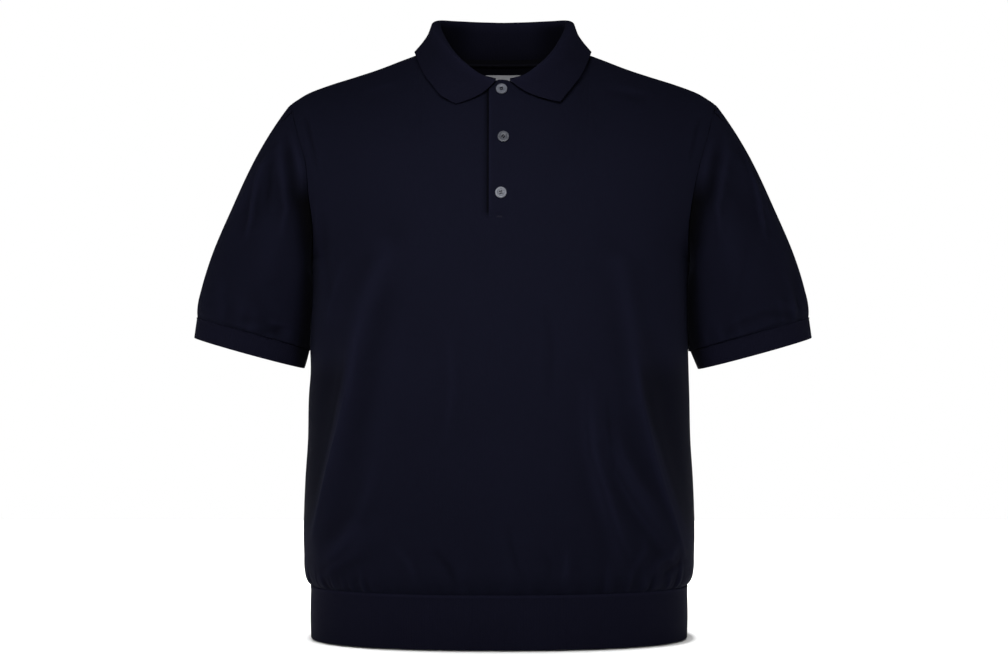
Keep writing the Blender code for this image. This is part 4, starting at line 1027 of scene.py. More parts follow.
# %% Sleeve surface
def cuff_points(side, turn, drop, spread=0.0):
    """Points of the cuff's oval: drop is the distance down from its seam."""
    outward = np.array([cos(CUFF_TILT), 0.0, sin(CUFF_TILT)])
    forward = np.array([0.0, -1.0, 0.0])
    down = np.array([sin(CUFF_TILT), 0.0, -cos(CUFF_TILT)])
    turn, drop, spread = (np.asarray(v, float)[..., None] for v in np.broadcast_arrays(turn, drop, spread))
    flare, widening = (size * (1 - drop / CUFF_HEIGHT) for size in (CUFF_FLARE, CUFF_WIDENING))
    centre = CUFF_BOTTOM - down * (CUFF_HEIGHT - drop)
    half = CUFF_WIDTH / 2 + widening + spread + CUFF_INWARD[side] * (np.cos(TAU * turn) < 0)
    across = outward * half * np.cos(TAU * turn)
    return centre + across + forward * (CUFF_DEPTH / 2 - flare + spread) * np.sin(TAU * turn)


def armhole_points(turn):
    """Points of the armhole seam for turns round the sleeve, 0 at the shoulder."""
    size = len(UPPER_HEIGHTS)
    front_ups = PANELS["front"][2].share_at_height(np.array(UPPER_HEIGHTS))[::-1]
    back_ups = np.linspace(1, 0, size)
    places = np.linspace(0, 0.5, size)
    front = PANELS["front"][1].at(np.interp(turn, places, front_ups))
    back = PANELS["back"][1].at(np.interp(1 - turn, places, back_ups))
    return np.where((turn <= 0.5)[..., None], front, back)


def fold_scales(width):
    """Fold widths for each turn and for each share along the sleeve, for a width in turns."""
    return 1 / width, FOLD_LENGTH_SCALE if width > NARROW_FOLD else NARROW_LENGTH_SCALE / width


def crease_scales(width):
    """The same two scales for a width in millimetres."""
    return SLEEVE_GIRTH / MM / width, SLEEVE_LENGTH / width


def sleeve_push(side, turn, along):
    """How far the folds and puckers of a sleeve stand out."""
    total = np.zeros(turn.shape)
    rows = [(fold_scales, *row) for row in SLEEVE_FOLDS] + [(crease_scales, *row) for row in SLEEVE_CREASES]
    for scales, name, height, width, route in rows:
        if name == side:
            wide, long = scales(width)
            scaled = tuple((t * wide, a * long) for t, a in route)
            distance, place = route_distance(turn * wide, along * long, scaled)
            total += height * np.sin(pi * (0.1 + 0.8 * place)) * np.exp(-distance ** 2)
    for name, start, end, count, depth in SLEEVE_PUCKERS:
        if name == side:
            place = (turn - start) / (end - start)
            uneven = place + 0.02 * np.sin(7 * place * pi)
            upward = window(along, 0.93, 0.985, 0.09) * (0.8 + 0.2 * np.sin(19 * place))
            total += depth * upward * window(place, 0.05, 0.95, 0.1) * np.sin(TAU * count * uneven)
    return total


SLEEVE_ROWS = 64
LOWER_SLEEVE_ROWS = 24
SLEEVE_TURNS = 220
UNDERARM_GAP = 0.5
# On the side toward the body the cloth sinks a little just above the cuff's seam
CUFF_LAP = 5.0
LAP_PLACE = (0.955, 0.962, 0.036)
BODY_CLEARANCE = 1.4
SHADED_HEIGHTS = (-500.0, -182.0, 42.0)
# Columns: distance off the body, share of the light that reaches the cloth there
SHADE_TONES = ((0.0, 0.04), (6.0, 0.06), (13.0, 0.2), (19.0, 0.6), (26.0, 0.9), (36.0, 1.0))


def clear_of_body(points, along):
    """Keeps a sleeve's grid a little off the body, and measures how far off each point lies."""
    points, gaps = points.copy(), np.zeros(points.shape[:2])
    for place in np.ndindex(*gaps.shape):
        seat, normal, _, _ = body_tree.find_nearest(points[place])
        seat, normal = np.array(seat), np.array(normal)
        gap = (points[place] - seat) @ normal
        need = BODY_CLEARANCE * min(along[place] / 0.12, 1.0)
        if along[place] > 0.02 and gap < need:
            points[place] = seat + normal * need
        gaps[place] = max(gap, need)
    return points, gaps


def body_shade(gaps, height):
    """The sleeve is in the shade where it lies against the body, below the armhole's middle."""
    near = np.interp(gaps, *zip(*SHADE_TONES))
    return 1 - (1 - near) * window(height, *SHADED_HEIGHTS)


def make_sleeve_grid(side):
    """The outer surface of one sleeve, and the painted light and shade at each point."""
    s = np.concatenate([[0.0, 0.006, 0.014], np.linspace(0.025, 0.86, SLEEVE_ROWS)[:-1],
                        np.linspace(0.86, 0.985, LOWER_SLEEVE_ROWS)[:-1], [0.985, 0.992, 1.0]])[:, None]
    turn = ((np.arange(SLEEVE_TURNS) / SLEEVE_TURNS + 0.5) % 1.0)[None, :]
    s, turn = np.broadcast_arrays(s, turn)
    start = armhole_points(turn)
    start[..., 0] += SEAM_GAP + UNDERARM_GAP * np.sin(pi * turn) ** 4
    leave = smooth_read(SLEEVE_STARTS, turn)
    down = np.array([sin(CUFF_TILT), 0.0, -cos(CUFF_TILT)])
    pull = SLEEVE_PULL * (UNDERARM_PULL_SHARE + (1 - UNDERARM_PULL_SHARE) * abs(np.cos(pi * turn)))
    pull = pull[..., None]
    points = blend(start, cuff_points(side, turn, 0.0), pull * leave, pull * down, s[..., None])
    outside, across, inside = np.moveaxis(smooth_read(SLEEVE_SWELL, s), -1, 0)
    angle = TAU * turn
    swell = outside * np.maximum(np.cos(angle), 0) ** 2 + across * np.sin(angle) ** 2
    swell += inside * np.maximum(-np.cos(angle), 0) ** 2
    folds = sleeve_push(side, turn, s)
    push = swell + folds - seam_dip(s * SLEEVE_LENGTH)
    points = points + grid_normals(points, closed=True) * push[..., None]
    lap = CUFF_LAP * window(s, *LAP_PLACE) * (1 - np.maximum(np.cos(angle), 0) ** 0.5)
    points = points + down * lap[..., None]
    points = lean_right(points * (-1 if side == "right" else 1, 1, 1))
    points, gaps = clear_of_body(points, s)
    return points, relief_painted_shade(folds) * body_shade(gaps, points[..., 2])


# %% Sleeve pieces
def make_sleeve(side):
    """One sleeve, as a closed sheet from the armhole to the cuff."""
    points, tone = make_sleeve_grid(side)
    piece = make_cloth("jersey_sleeve_" + side, points, ring_map(points, SLEEVE_GIRTH), jersey,
                       closed=True, flip=side == "right", tone=tone)
    piece.data.materials.append(purl)
    finish_cloth(piece, CLOTH, "sleeve_" + side, SLEEVE_FLAT)


for side in ("left", "right"):
    make_sleeve(side)

# %% [markdown]
# ## Bands
# The cuffs and the waist band are taken to be knitted double: folded along the free edge and
# linked to the panel along the top. What shows is made: down the outside and round the fold. The
# inner layer is left out. A thin roll at the top is the linked edge, which catches the light
# under the dark seam line. On the waist band it also gets a painted highlight.

# %% Band sections
# Columns: share of the band's height, distance out from its middle surface
BAND_PROFILE = (
    (0.0, -0.4), (0.004, 0.45), (0.02, 0.95), (0.04, 1.0), (0.065, 0.65), (0.09, 0.5), (0.3, 0.5),
    (0.6, 0.5), (0.9, 0.5), (0.97, 0.55), (0.99, 0.4), (1.0, 0.0), (0.99, -0.4), (0.97, -0.5),
)


BAND_LAYER = 0.6 * BAND_CLOTH
BAND_STEP = 3.0
HEM_COLUMNS = 301
CUFF_TURNS = 160
CUFF_GIRTH = 0.384
# Where the painted highlight on the linked edge lies, and how wide it is, as shares of the band's height
ROLL_HIGHLIGHT_PLACE, ROLL_HIGHLIGHT_WIDTH = 0.03, 0.02


def band_profile(height):
    """Drops and distances out along the outside of a band, for its real height."""
    table = np.array(BAND_PROFILE)
    fine = [table[0]]
    for a, b in zip(table, table[1:]):
        count = max(int(abs(b[0] - a[0]) * height / BAND_STEP), 1)
        fine += [a + (b - a) * step / count for step in range(1, count + 1)]
    fine = np.array(fine)
    return fine[:, 0], fine[:, 1]


def make_hem_band(panel):
    """The front or the back half of the waist band. Its rows run up from inside the fold."""
    drop, out = (values[::-1, None] for values in band_profile(HEM_SEAM_HEIGHT - HEM_BOTTOM_HEIGHT))
    height = HEM_SEAM_HEIGHT - SEAM_GAP - drop * (HEM_SEAM_HEIGHT - HEM_BOTTOM_HEIGHT - SEAM_GAP)
    points = level_points(BAND_SECTIONS, panel, np.linspace(-1, 1, HEM_COLUMNS)[None, :], height)
    tangents = np.gradient(points, axis=1)
    normals = np.stack([tangents[..., 1], -tangents[..., 0], 0 * tangents[..., 0]], axis=-1)
    normals /= np.linalg.norm(normals, axis=-1, keepdims=True) * (1 if panel == "front" else -1)
    points = points + normals * out[..., None]
    # A painted highlight on the roll at the linked edge.
    tone = PLAIN_TONE + (1 - PLAIN_TONE) * np.exp(-((drop - ROLL_HIGHLIGHT_PLACE) / ROLL_HIGHLIGHT_WIDTH) ** 2) * (out > 0)
    piece = make_cloth("rib_hem_" + panel, points, cloth_map(points), rib, flip=panel == "back", tone=tone)
    finish_cloth(piece, BAND_LAYER, "hem_" + panel, flat_size(points))


for panel in ("front", "back"):
    make_hem_band(panel)


# %% Cuffs
def make_cuff(side):
    """One cuff, as a closed sheet down its outside and round its fold."""
    drop, out = band_profile(CUFF_HEIGHT)
    turn = (np.arange(CUFF_TURNS) / CUFF_TURNS + 0.5) % 1.0
    points = cuff_points(side, turn[None, :], drop[:, None] * CUFF_HEIGHT, out[:, None])
    uv = ring_map(np.repeat(points[:, :1], CUFF_TURNS, axis=1), CUFF_GIRTH)
    points = lean_right(points * (-1 if side == "right" else 1, 1, 1))
    _, gaps = clear_of_body(points, np.ones(points.shape[:2]))
    tone = PLAIN_TONE * body_shade(gaps, points[..., 2])
    piece = make_cloth("rib_cuff_" + side, points, uv, rib, closed=True, flip=side == "right", tone=tone)
    finish_cloth(piece, BAND_LAYER, "cuff_" + side, flat_size(points, closed=True))


for side in ("left", "right"):
    make_cuff(side)

# %% [markdown]
# ## Collar
# The collar is one folded piece of rib. It stands up from the neck seam, rolls over and lies down
# on the shoulders. Sections round the neck give the fold and the edge of the leaf, and each
# section is bent over a round roll. The leaf is then pushed off the body where it would sink in.

# %% Collar sections
# Columns: share of the neck seam, fold point, leaf edge point, radius of the roll
COLLAR_SECTIONS = (
    (0.038, (8.5, -90.0, -42.0), (59.0, -95.0, -69.0), 2.2),
    (0.1, (24.0, -87.5, -37.6), (70.0, -90.0, -60.5), 2.4),
    (0.172, (39.0, -79.0, -26.5), (78.5, -80.0, -49.5), 2.7),
    (0.268, (55.0, -63.0, -10.5), (88.5, -63.0, -35.0), 3.0),
    (0.40, (68.5, -37.0, 9.5), (97.0, -35.0, -16.5), 3.6),
    (0.53, (78.0, -7.0, 29.5), (102.5, -4.0, -1.0), 4.4),
    (0.66, (76.5, 26.0, 39.0), (97.5, 30.0, -6.0), 4.2),
    (0.795, (57.5, 49.0, 41.5), (78.0, 58.0, -14.0), 3.8),
    (0.905, (30.0, 64.0, 42.2), (42.0, 75.0, -17.0), 3.6),
    (1.0, (0.0, 68.0, 42.0), (0.0, 80.0, -18.0), 3.6),
)
COLLAR_CLOTH = 1.4
COLLAR_STEPS = 17
ROLL_SLANT = 0.7071
FINER_COLUMNS, FINER_ROWS = 7, 4
NECK_CENTRE = np.array((0.0, -8.0, 0.0))
BACK_SEAM_LENGTH = 0.74
SEAM_STAND = 0.4
LEAF_PARTS = (0.3, 0.6, 0.85, 1.0)
LEAF_LIFTS = (3.4, 2.6, 0.9, 0.0)
SHOULDER_SAG = 1.6
SAG_PLACE = (0.50, 0.60, 0.17)
LEAF_CLEARANCE = 2.9
STRIP_CLEARANCE = 2.8
STRIP_PLACE = (-1.0, 17.0, 8.0)
RIDGE_CLEARANCE = 1.6
RIDGE_PLACE = (-10.0, 14.0, 16.0)
LIFT_EXCESS = 1.15
FRONT_END_SHARE = 0.12
FRONT_BOWS = (4.6, 4.4, 2.2, 0.0)
TIP_SHIFTS = {1.0: (5.3, 0.0, 1.1), -1.0: (-5.4, 0.0, -1.2)}


def from_neck_centre(point):
    """Level direction from the middle of the neck to a point."""
    away = (point - NECK_CENTRE) * (1, 1, 0)
    return away / np.linalg.norm(away)


def collar_column(sign, share):
    """Points across the collar at one place round the neck, and the outward direction there."""
    rows = [(index / (len(COLLAR_SECTIONS) - 1), seam, *fold, *edge, roll)
            for index, (seam, fold, edge, roll) in enumerate(COLLAR_SECTIONS)]
    values = smooth_read(rows, share)
    fold, edge, roll = values[1:4], values[4:7], values[7]
    along = values[0] * (1 + BACK_SEAM_LENGTH)
    seam = NECK_FRONT.at(along) if along <= 1 else NECK_BACK.at(1 - (along - 1) / BACK_SEAM_LENGTH)
    seam = seam + (0, 0, SEAM_STAND)
    out = from_neck_centre(fold)
    up = np.array([0.0, 0.0, 1.0])
    centre = fold - up * roll
    inner, start = centre - out * roll, centre + out * roll
    slant = roll * ROLL_SLANT
    points = [seam, (seam + inner) / 2, inner, centre + (up - out) * slant, fold]
    points += [centre + (up + out) * slant, start]
    near_end = max(0.0, 1 - share / FRONT_END_SHARE)
    edge = edge + near_end * np.array(TIP_SHIFTS[sign])
    bow_way = np.cross(edge - start, out)
    bow_way *= near_end / np.linalg.norm(bow_way)
    hang = 1 - SHOULDER_SAG * window(share, *SAG_PLACE)
    for part, lift, bow in zip(LEAF_PARTS, LEAF_LIFTS, FRONT_BOWS):
        points.append(start * (1 - part) + edge * part + out * lift * hang + bow_way * bow)
    return np.array(points) * (sign, 1, 1), (out + up) / 2 ** 0.5 * (sign, 1, 1)


def leaf_shortfall(point):
    """How much nearer to the body a point of the leaf lies than it may."""
    seat, normal, _, _ = body_tree.find_nearest(point)
    height = (Vector(point) - seat).dot(normal)
    need = LEAF_CLEARANCE + STRIP_CLEARANCE * window(abs(point[0]), *STRIP_PLACE)
    return max(need + RIDGE_CLEARANCE * window(point[1], *RIDGE_PLACE) - height, 0.0)


def collar_grid():
    """The collar's outer surface: rows go from the seam to the leaf's edge."""
    shares = np.arange(COLLAR_STEPS + 1) / COLLAR_STEPS
    stations = [(1.0, share) for share in shares] + [(-1.0, share) for share in shares[-2::-1]]
    drawn = [collar_column(*station) for station in stations]
    columns, lifts = (np.array(values) for values in zip(*drawn))
    for level in range(-len(LEAF_PARTS), 0):
        for _ in range(3):
            short = np.array([leaf_shortfall(point) for point in columns[:, level]])
            spread = np.max([np.roll(short, step) for step in (-1, 0, 1)], axis=0)
            eased = (np.roll(spread, 1) + 2 * spread + np.roll(spread, -1)) / 4
            columns[:, level] += lifts * (np.maximum(eased, short) * LIFT_EXCESS)[:, None]
    return columns.transpose(1, 0, 2)


def refine(points, factor):
    """A smooth finer grid through a coarse one, along its columns."""
    padded = np.concatenate([2 * points[:, :1] - points[:, 1:2], points,
                             2 * points[:, -1:] - points[:, -2:-1]], axis=1)
    fine = [spline(*(padded[:, index + step] for step in range(4)), s)
            for index in range(points.shape[1] - 1) for s in np.arange(factor) / factor]
    fine.append(points[:, -1])
    return np.stack(fine, axis=1)


fine_collar = refine(refine(collar_grid(), FINER_COLUMNS).transpose(1, 0, 2), FINER_ROWS)
fine_collar = fine_collar.transpose(1, 0, 2)
print("collar grid", fine_collar.shape)

# %% Collar piece
FOLD_ROW = 16
# Little light reaches down inside the neck. Columns: depth below the fold, tone
STAND_TONES = (
    (0.0, 1.0), (5.0, 0.85), (10.0, 0.60), (20.0, 0.54), (30.0, 0.45), (37.0, 0.38), (44.0, 0.26),
)
# The stand is darker still at the shoulders
CORNER_SHADE = 0.55
CORNER_PLACE = (62.0, 200.0, 34.0)
# The fold gets a painted highlight. Columns: distance over the leaf, tone
LEAF_HIGHLIGHT_TONES = ((0.0, 1.0), (6.0, 0.88), (16.0, PLAIN_TONE))


def collar_tone(points):
    """Tones on both sides of the collar's fold: painted shade on the stand, painted highlight on the fold.
    """
    depth = points[FOLD_ROW, :, 2] - points[:FOLD_ROW, :, 2]
    stand = np.interp(depth, *zip(*STAND_TONES))
    corner = window(abs(points[:FOLD_ROW, :, 0]), *CORNER_PLACE) * (depth / 8).clip(0, 1)
    stand *= 1 - CORNER_SHADE * corner
    over = np.linalg.norm(points[FOLD_ROW:] - points[FOLD_ROW], axis=-1)
    return np.vstack([stand, np.interp(over, *zip(*LEAF_HIGHLIGHT_TONES))])


collar = make_cloth("rib_collar", fine_collar, cloth_map(fine_collar), rib, tone=collar_tone(fine_collar))
finish_cloth(collar, COLLAR_CLOTH, "collar", flat_size(fine_collar))

# %% [markdown]
# ## Placket
# Two narrow strips close the front. The upper one ends in a free edge beside the buttons, and it
# lies on the front, so its points are the front's own points moved out. The under strip shows
# only as a shadow along that edge.

# %% Placket strips
PLACKET_EDGE = -15.6
PLACKET_RIGHT = 13.6
PLACKET_LAP = 0.4
PLACKET_CLOTH = 1.5
STRIP_BOTTOM, STRIP_TOP = -199.2, -41.4
STRIP_ROWS = 120
STRIP_EASE = 9.0
STRIP_SEAT = 0.3
UNDER_GAP = 0.5
STRIP_TONE_WIDTH = 2.2
# How far each strip's top stays below the neck seam: in its middle, and from 9 mm beside it on
STRIP_TOP_GAPS = {"placket_over": (-0.6, 1.3), "placket_under": (1.0, 2.2)}
FLUSH = 0.07


def upper_face(x):
    """How far the upper strip's face stands off the front's own surface."""
    share = np.clip((x - PLACKET_EDGE) / (PLACKET_RIGHT - PLACKET_EDGE), 0, 1)
    return FLUSH + (PLACKET_LAP + PLACKET_CLOTH) * (1 - share * share * (3 - 2 * share))


def under_face(x):
    """How far the under strip's face stands off the front's own surface."""
    return upper_face(x) - PLACKET_CLOTH - UNDER_GAP


def on_front(x, z):
    """The point of the front's surface at x, z, with its outward normal."""
    place, normal, _, _ = front_tree.ray_cast(Vector((x, -400.0, z)), Vector((0.0, 1.0, 0.0)))
    return np.array(place), np.array(normal)


def strip_point(node, face, x, height):
    """A point of a strip: on the front, moved out to the strip's face, and ended at the neck seam."""
    neck = NECK_FRONT.points
    seam = neck[np.argmin(abs(neck[:, 0] - abs(x))), 2]
    gap = np.interp(abs(x), (4, 9), STRIP_TOP_GAPS[node])
    top = min(height, seam - gap)
    seat = min(top, seam - STRIP_SEAT)
    point, normal = on_front(x, seat)
    point[2] += top - seat
    ease = np.clip((height - STRIP_BOTTOM) / STRIP_EASE, 0, 1)
    return point + normal * (FLUSH + (face(x) - FLUSH) * ease * ease * (3 - 2 * ease))


def make_strip(name, node, xs, face, edge_painted_tone):
    """One strip of the placket. The edge tone paints its free edge: paler is a painted highlight, darker a
    painted shade.
    """
    heights = np.linspace(STRIP_BOTTOM, STRIP_TOP, STRIP_ROWS)
    points = np.array([[strip_point(node, face, x, height) for x in xs] for height in heights])
    tone = PLAIN_TONE + (edge_painted_tone - PLAIN_TONE) * np.exp(-((xs - xs[0]) / STRIP_TONE_WIDTH) ** 2)
    piece = make_cloth(name, points, cloth_map(points), jersey, tone=tone[None, :])
    finish_cloth(piece, PLACKET_CLOTH, node, flat_size(points))


edge_xs = PLACKET_EDGE + np.array((0.0, 0.4, 1.0))
upper_xs = np.concatenate([edge_xs, np.linspace(-13.6, PLACKET_RIGHT, 19)])
under_xs = np.linspace(-12.6, 9.0, 12)
# The upper strip's free edge gets a painted highlight, and the under strip's a painted shade.
make_strip("placket_upper_strip", "placket_over", upper_xs, upper_face, 0.92)
make_strip("placket_under_strip", "placket_under", under_xs, under_face, 0.5)

# %% [markdown]
# ## Buttons, thread and bar tack
# The buttons are hard, so they are modelled as solids: a disc with a rounded rim, a dish let into
# its face and four holes. Two stitches of navy thread cross the dish. One button and one pair of
# stitches are modelled, and the rest are copies with a mesh of their own, each turned a little.
# The same thread makes a short bar tack over the foot of the placket.

# %% Button and thread finishes
def make_pearl(name, share):
    """Grey pearl with cloudy bands. The share scales this copy's colour, a painted light and shade on one
    pearl.
    """
    finish = Finish(name)
    cloud = finish.noise(finish.place(), 260.0, 3.0)
    grain = finish.noise(finish.place(), 1100.0, 2.0)
    dark, light = shade_of((0.11, 0.12, 0.15), share), shade_of((0.25, 0.26, 0.31), share)
    finish.link("Base Color", finish.mix(cloud * 0.7 + grain * 0.3, dark, light))
    finish.bump(cloud, 0.00004)
    finish.set(Roughness=0.45, Specular_IOR_Level=0.3, Coat_Weight=0.08, Coat_Roughness=0.25)
    return finish.material


def make_thread_finish(name, share):
    """Twisted navy thread. The share says how pale it is."""
    finish = Finish(name)
    x, _, z = finish.split(finish.place())
    ply = (((x + z) / 0.0005) * TAU).sine() * 0.5 + 0.5
    dark, light = shade_of((0.003, 0.003, 0.006), share), shade_of((0.009, 0.009, 0.017), share)
    finish.link("Base Color", finish.mix(ply, dark, light))
    finish.bump(ply, 0.0001)
    finish.set(Roughness=0.75, Specular_IOR_Level=0.08)
    return finish.material


# %% One button and one pair of stitches
BUTTON_DIAMETER = 12.7
BUTTON_THICKNESS = 2.6
BUTTON_RIM = 1.9
BUTTON_BEVEL = 0.5
DISH_STEPS = ((0.6, 0.55), (0.9, 0.2))
HOLE_RADIUS = 0.9
HOLE_OFFSET = 1.6
THREAD_RADIUS = 0.62
STITCH_REACH = 1.9
STITCH_HEIGHT = 0.8


def edit_front(piece):
    """Opens a piece in edit mode with only its front face selected."""
    pick(piece)
    for edge in piece.data.edges:
        edge.select = False
    for corner in piece.data.vertices:
        corner.select = False
    for face in piece.data.polygons:
        face.select = face.normal.z > 0.9
    bpy.ops.object.mode_set(mode="EDIT")
    bpy.ops.mesh.select_mode(type="FACE")


def model_button():
    """A disc with a dish in its face, a rounded rim and four holes."""
    bpy.ops.object.select_all(action="DESELECT")
    radius, depth = BUTTON_DIAMETER / 2 * MM, BUTTON_THICKNESS * MM
    bpy.ops.mesh.primitive_cylinder_add(vertices=72, radius=radius, depth=depth)
    button = bpy.context.object
    edit_front(button)
    bpy.ops.mesh.inset(thickness=BUTTON_RIM * MM)
    for step, depth in DISH_STEPS:
        bpy.ops.mesh.inset(thickness=step * MM, depth=-depth * MM)
    bpy.ops.object.mode_set(mode="OBJECT")
    apply_modifier(button, "BEVEL", width=BUTTON_BEVEL * MM, segments=3, limit_method="ANGLE",
                   angle_limit=radians(50))
    for number in range(4):
        angle = (number + 0.5) * pi / 2
        spot = (HOLE_OFFSET * cos(angle) * MM, HOLE_OFFSET * sin(angle) * MM, 0.0)
        bpy.ops.object.select_all(action="DESELECT")
        bpy.ops.mesh.primitive_cylinder_add(vertices=24, radius=HOLE_RADIUS * MM, depth=0.01, location=spot)
        cutter = bpy.context.object
        apply_modifier(button, "BOOLEAN", operation="DIFFERENCE", solver="EXACT", object=cutter)
        bpy.data.objects.remove(cutter)
    return button


def model_stitches():
    """Two stitches side by side, each a thick rounded strand between two holes."""
    bpy.ops.object.select_all(action="DESELECT")
    bpy.ops.mesh.primitive_uv_sphere_add(segments=20, ring_count=12, radius=1.0)
    thread = bpy.context.object
    bpy.ops.object.mode_set(mode="EDIT")
    bpy.ops.mesh.select_all(action="SELECT")
    strand = (STITCH_REACH * MM, THREAD_RADIUS * MM, THREAD_RADIUS * MM)
    beside = HOLE_OFFSET * cos(pi / 4) * MM
    bpy.ops.transform.resize(value=strand, center_override=(0, 0, 0))
    bpy.ops.transform.translate(value=(0.0, beside, STITCH_HEIGHT * MM))
    bpy.ops.mesh.duplicate()
    bpy.ops.transform.translate(value=(0.0, -2 * beside, 0.0))
    bpy.ops.object.mode_set(mode="OBJECT")
    return thread


button_master, thread_master = model_button(), model_stitches()
for master in (button_master, thread_master):
    print(master.name, len(master.data.polygons), "faces")

# %% All buttons
# Columns: node, turn of its holes, how pale it is painted, a painted light and shade on copies of one pearl
BUTTONS = (("button_1", 0.35, 0.9), ("button_2", 0.80, 0.5), ("button_3", 0.10, 0.9))


def seat_copy(master, name, node, turn, finish):
    """A copy of a modelled piece, laid on a button's place in the frame and turned about its middle."""
    piece = master.copy()
    piece.data = master.data.copy()
    piece.name = piece.data.name = name
    bpy.context.scene.collection.objects.link(piece)
    low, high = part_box(node)
    middle = (low + high) / 2
    _, normal = on_front(middle.x / MM, middle.z / MM)
    lie = Vector((0.0, 0.0, 1.0)).rotation_difference(Vector(normal))
    piece.rotation_euler = (lie @ Quaternion((0.0, 0.0, 1.0), turn)).to_euler()
    piece.location = middle
    pick(piece)
    bpy.ops.object.transform_apply(location=True, rotation=True, scale=True)
    bpy.ops.object.shade_smooth_by_angle(angle=radians(40))
    piece.data.materials.clear()
    piece.data.materials.append(finish)
    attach(piece, "root")
    return piece


navy_thread = make_thread_finish("navy_thread", 1.0)
for node, turn, share in BUTTONS:
    button = seat_copy(button_master, "pearl_" + node, node, turn, make_pearl("pearl_of_" + node, share))
    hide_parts(node)
    stitches = seat_copy(thread_master, "thread_of_" + node, node, turn, navy_thread)
for master in (button_master, thread_master):
    bpy.data.objects.remove(master)
print(len(BUTTONS), "buttons")

# %% Bar tack
TACK_PLACE = (-3.9, -199.1)
TACK_STITCHES = 5
TACK_STEP = 1.3
TACK_STRAND = Vector((0.7, 0.5, 1.3))
TACK_LIFT = 0.45
PALE_THREAD = 2.2


def make_bar_tack():
    """A row of short upright stitches over the foot of the placket."""
    place, normal = on_front(*TACK_PLACE)
    bpy.ops.object.select_all(action="DESELECT")
    bpy.ops.mesh.primitive_uv_sphere_add(segments=16, ring_count=10, radius=1.0)
    tack = bpy.context.object
    tack.name = tack.data.name = "bar_tack"
    bpy.ops.object.mode_set(mode="EDIT")
    bpy.ops.mesh.select_all(action="SELECT")
    bpy.ops.transform.resize(value=TACK_STRAND * MM, center_override=(0, 0, 0))
    first = place + normal * TACK_LIFT - (TACK_STEP * (TACK_STITCHES - 1) / 2, 0, 0)
    bpy.ops.transform.translate(value=Vector(first) * MM)
    for _ in range(TACK_STITCHES - 1):
        bpy.ops.mesh.duplicate()
        bpy.ops.transform.translate(value=(TACK_STEP * MM, 0.0, 0.0))
    bpy.ops.object.mode_set(mode="OBJECT")
    bpy.ops.object.shade_smooth()
    tack.data.materials.append(make_thread_finish("paler_navy_thread", PALE_THREAD))
    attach(tack, "root")
    print(TACK_STITCHES, "stitches in the bar tack")


make_bar_tack()

# %% [markdown]
# ## Neck tape and label
# Inside the back of the neck, a twill tape covers the seam, and a bare woven tab hangs below it.
# Both show through the open neck, so they need their own small thickness and finish.

# %% Tape and label
TAPE_WIDTH = 9.0
TAPE_CLOTH = 0.8
TAPE_REACH = 0.55
TAPE_TOP = 3.5
TAPE_MIDDLE = -1.5
TAPE_COLUMNS = 121
TAPE_OFF_BACK = 1.3
LABEL_OFF_BACK = 0.9
LABEL_ROWS, LABEL_COLUMNS = 21, 22
BEHIND = 400.0
LABEL_CLOTH = 0.5
LABEL_WIDTH = 42.0
LABEL_HEIGHT = 40.0
LABEL_TOP = -18.0


def make_twill():
    """Navy twill tape with a paler line along its middle."""
    finish = Finish("navy_twill_tape")
    across, along = finish.cloth()
    twill = (((across + along) / 0.0009) * TAU).sine() * 0.5 + 0.5
    middle = 1 - ((along - 0.0036) / 0.0022).size()
    # Both navy shades are far darker than the yarn: the tape's own navy darkened as a painted shade for the
    # little light inside the neck.
    cloth = finish.mix(twill, (0.0012, 0.0012, 0.0022, 1.0), (0.0026, 0.0026, 0.0048, 1.0))
    finish.link("Base Color", finish.mix(middle.at_least(0.0), cloth, (0.011, 0.011, 0.017, 1.0)))
    finish.bump(twill, 0.00015)
    finish.set(Roughness=0.8, Specular_IOR_Level=0.05)
    return finish.material


def make_satin():
    """Plain grey satin for the bare label."""
    finish = Finish("grey_satin_tab")
    across, along = finish.cloth()
    weave = ((across / 0.0005) * TAU).sine() * ((along / 0.0004) * TAU).sine() * 0.5 + 0.5
    patches = finish.noise(finish.place(), 60.0)
    finish.link("Base Color", finish.mix(weave * 0.5 + patches * 0.5, (0.34, 0.34, 0.37, 1.0),
                                         (0.50, 0.50, 0.53, 1.0)))
    finish.bump(weave, 0.00008)
    finish.set(Roughness=0.6, Specular_IOR_Level=0.2, Sheen_Weight=0.1)
    return finish.material


def make_tape():
    """The tape over the back neck seam, which leans inward from the panel to its top edge."""
    shares = np.linspace(-TAPE_REACH, TAPE_REACH, TAPE_COLUMNS)
    rows = [[], [], []]
    for share in shares:
        seam = NECK_BACK.at(abs(share)) * (np.sign(share), 1, 1)
        inward = -from_neck_centre(seam)
        seat, normal, _, _ = body_tree.find_nearest(seam + (0, 0, TAPE_TOP - TAPE_WIDTH))
        rows[0].append(np.array(seat) - np.array(normal) * (CLOTH + TAPE_OFF_BACK + TAPE_CLOTH))
        rows[1].append(seam + (0, 0, TAPE_MIDDLE) + inward * 3.6)
        rows[2].append(seam + (0, 0, TAPE_TOP) + inward * (3.0 + 3.2 * share * share))
    points = refine(np.array(rows).transpose(1, 0, 2), 4).transpose(1, 0, 2)
    piece = make_cloth("neck_twill_tape", points, cloth_map(points), make_twill())
    finish_cloth(piece, TAPE_CLOTH, "neck_tape", flat_size(points))


def label_point(x, height):
    """A point just inside the back panel's inner face."""
    place, normal, _, _ = body_tree.ray_cast(Vector((x, BEHIND, height)), Vector((0.0, -1.0, 0.0)))
    return np.array(place) - np.array(normal) * (CLOTH + LABEL_OFF_BACK + LABEL_CLOTH)


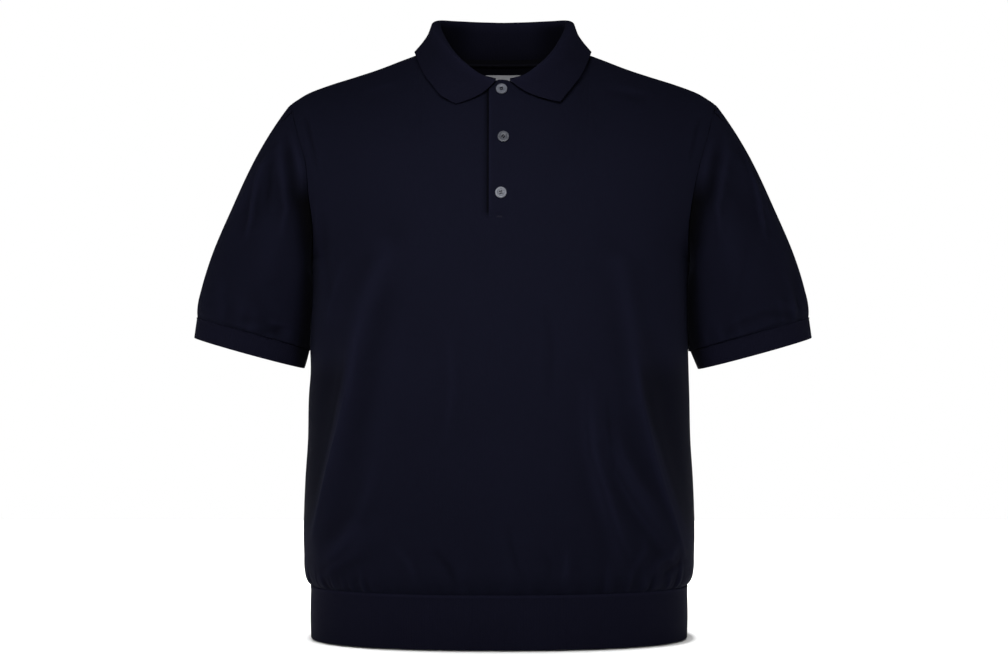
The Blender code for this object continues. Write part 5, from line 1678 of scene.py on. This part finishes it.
def make_label():
    """The bare label, which lies along the inside of the back."""
    xs = np.linspace(-LABEL_WIDTH / 2, LABEL_WIDTH / 2, LABEL_COLUMNS)
    heights = np.linspace(LABEL_TOP - LABEL_HEIGHT, LABEL_TOP, LABEL_ROWS)
    points = np.array([[label_point(x, height) for x in xs] for height in heights])
    piece = make_cloth("bare_label", points, cloth_map(points), make_satin())
    finish_cloth(piece, LABEL_CLOTH, "label", flat_size(points))


make_tape()
make_label()

# %% [markdown]
# ## Floor
# The floor lies just under the hem. It is white, and it is shaded softly round the hem's oval,
# because less light reaches it there.

# %% Floor
FLOOR_SIZE = 3.4
FLOOR_DROP = 1.5
EULER = 2.718
SIDE_FALLOFF = 5
HEM_HALF_WIDTH = 0.221
HEM_HALF_DEPTH = 0.127
CONTACT_REACH = 0.034
CONTACT_SHADE = 0.62
bpy.ops.object.select_all(action="DESELECT")
floor_height = (HEM_BOTTOM_HEIGHT - FLOOR_DROP) * MM
bpy.ops.mesh.primitive_plane_add(size=FLOOR_SIZE, location=(0.0, 0.0, floor_height))
floor = bpy.context.object
floor.name = "floor"
bpy.ops.object.transform_apply(location=True)


def make_white_floor():
    """White, with a soft grey ring round the hem's oval, where little light gets in."""
    finish = Finish("white_floor")
    x, y, _ = finish.split(finish.place())
    wide, deep = (x / HEM_HALF_WIDTH).size(), (y / HEM_HALF_DEPTH).size()
    oval = (wide ** SQUARENESS + deep ** SQUARENESS) ** (1 / SQUARENESS)
    away = (x * x + y * y) ** 0.5 * (1 - 1 / oval)
    to_side = x * x / (x * x + y * y)
    away = away * (to_side ** 4 * SIDE_FALLOFF + 1)
    ring = EULER ** (away.at_least(0.0) / -CONTACT_REACH) * CONTACT_SHADE
    finish.link("Base Color", finish.mix(ring, (0.92, 0.92, 0.92, 1.0), (0.0, 0.0, 0.0, 1.0)))
    finish.set(Roughness=0.9, Specular_IOR_Level=0.0)
    return finish.material


floor.data.materials.append(make_white_floor())
floor.visible_diffuse = False
lit["floor"].objects.link(floor)
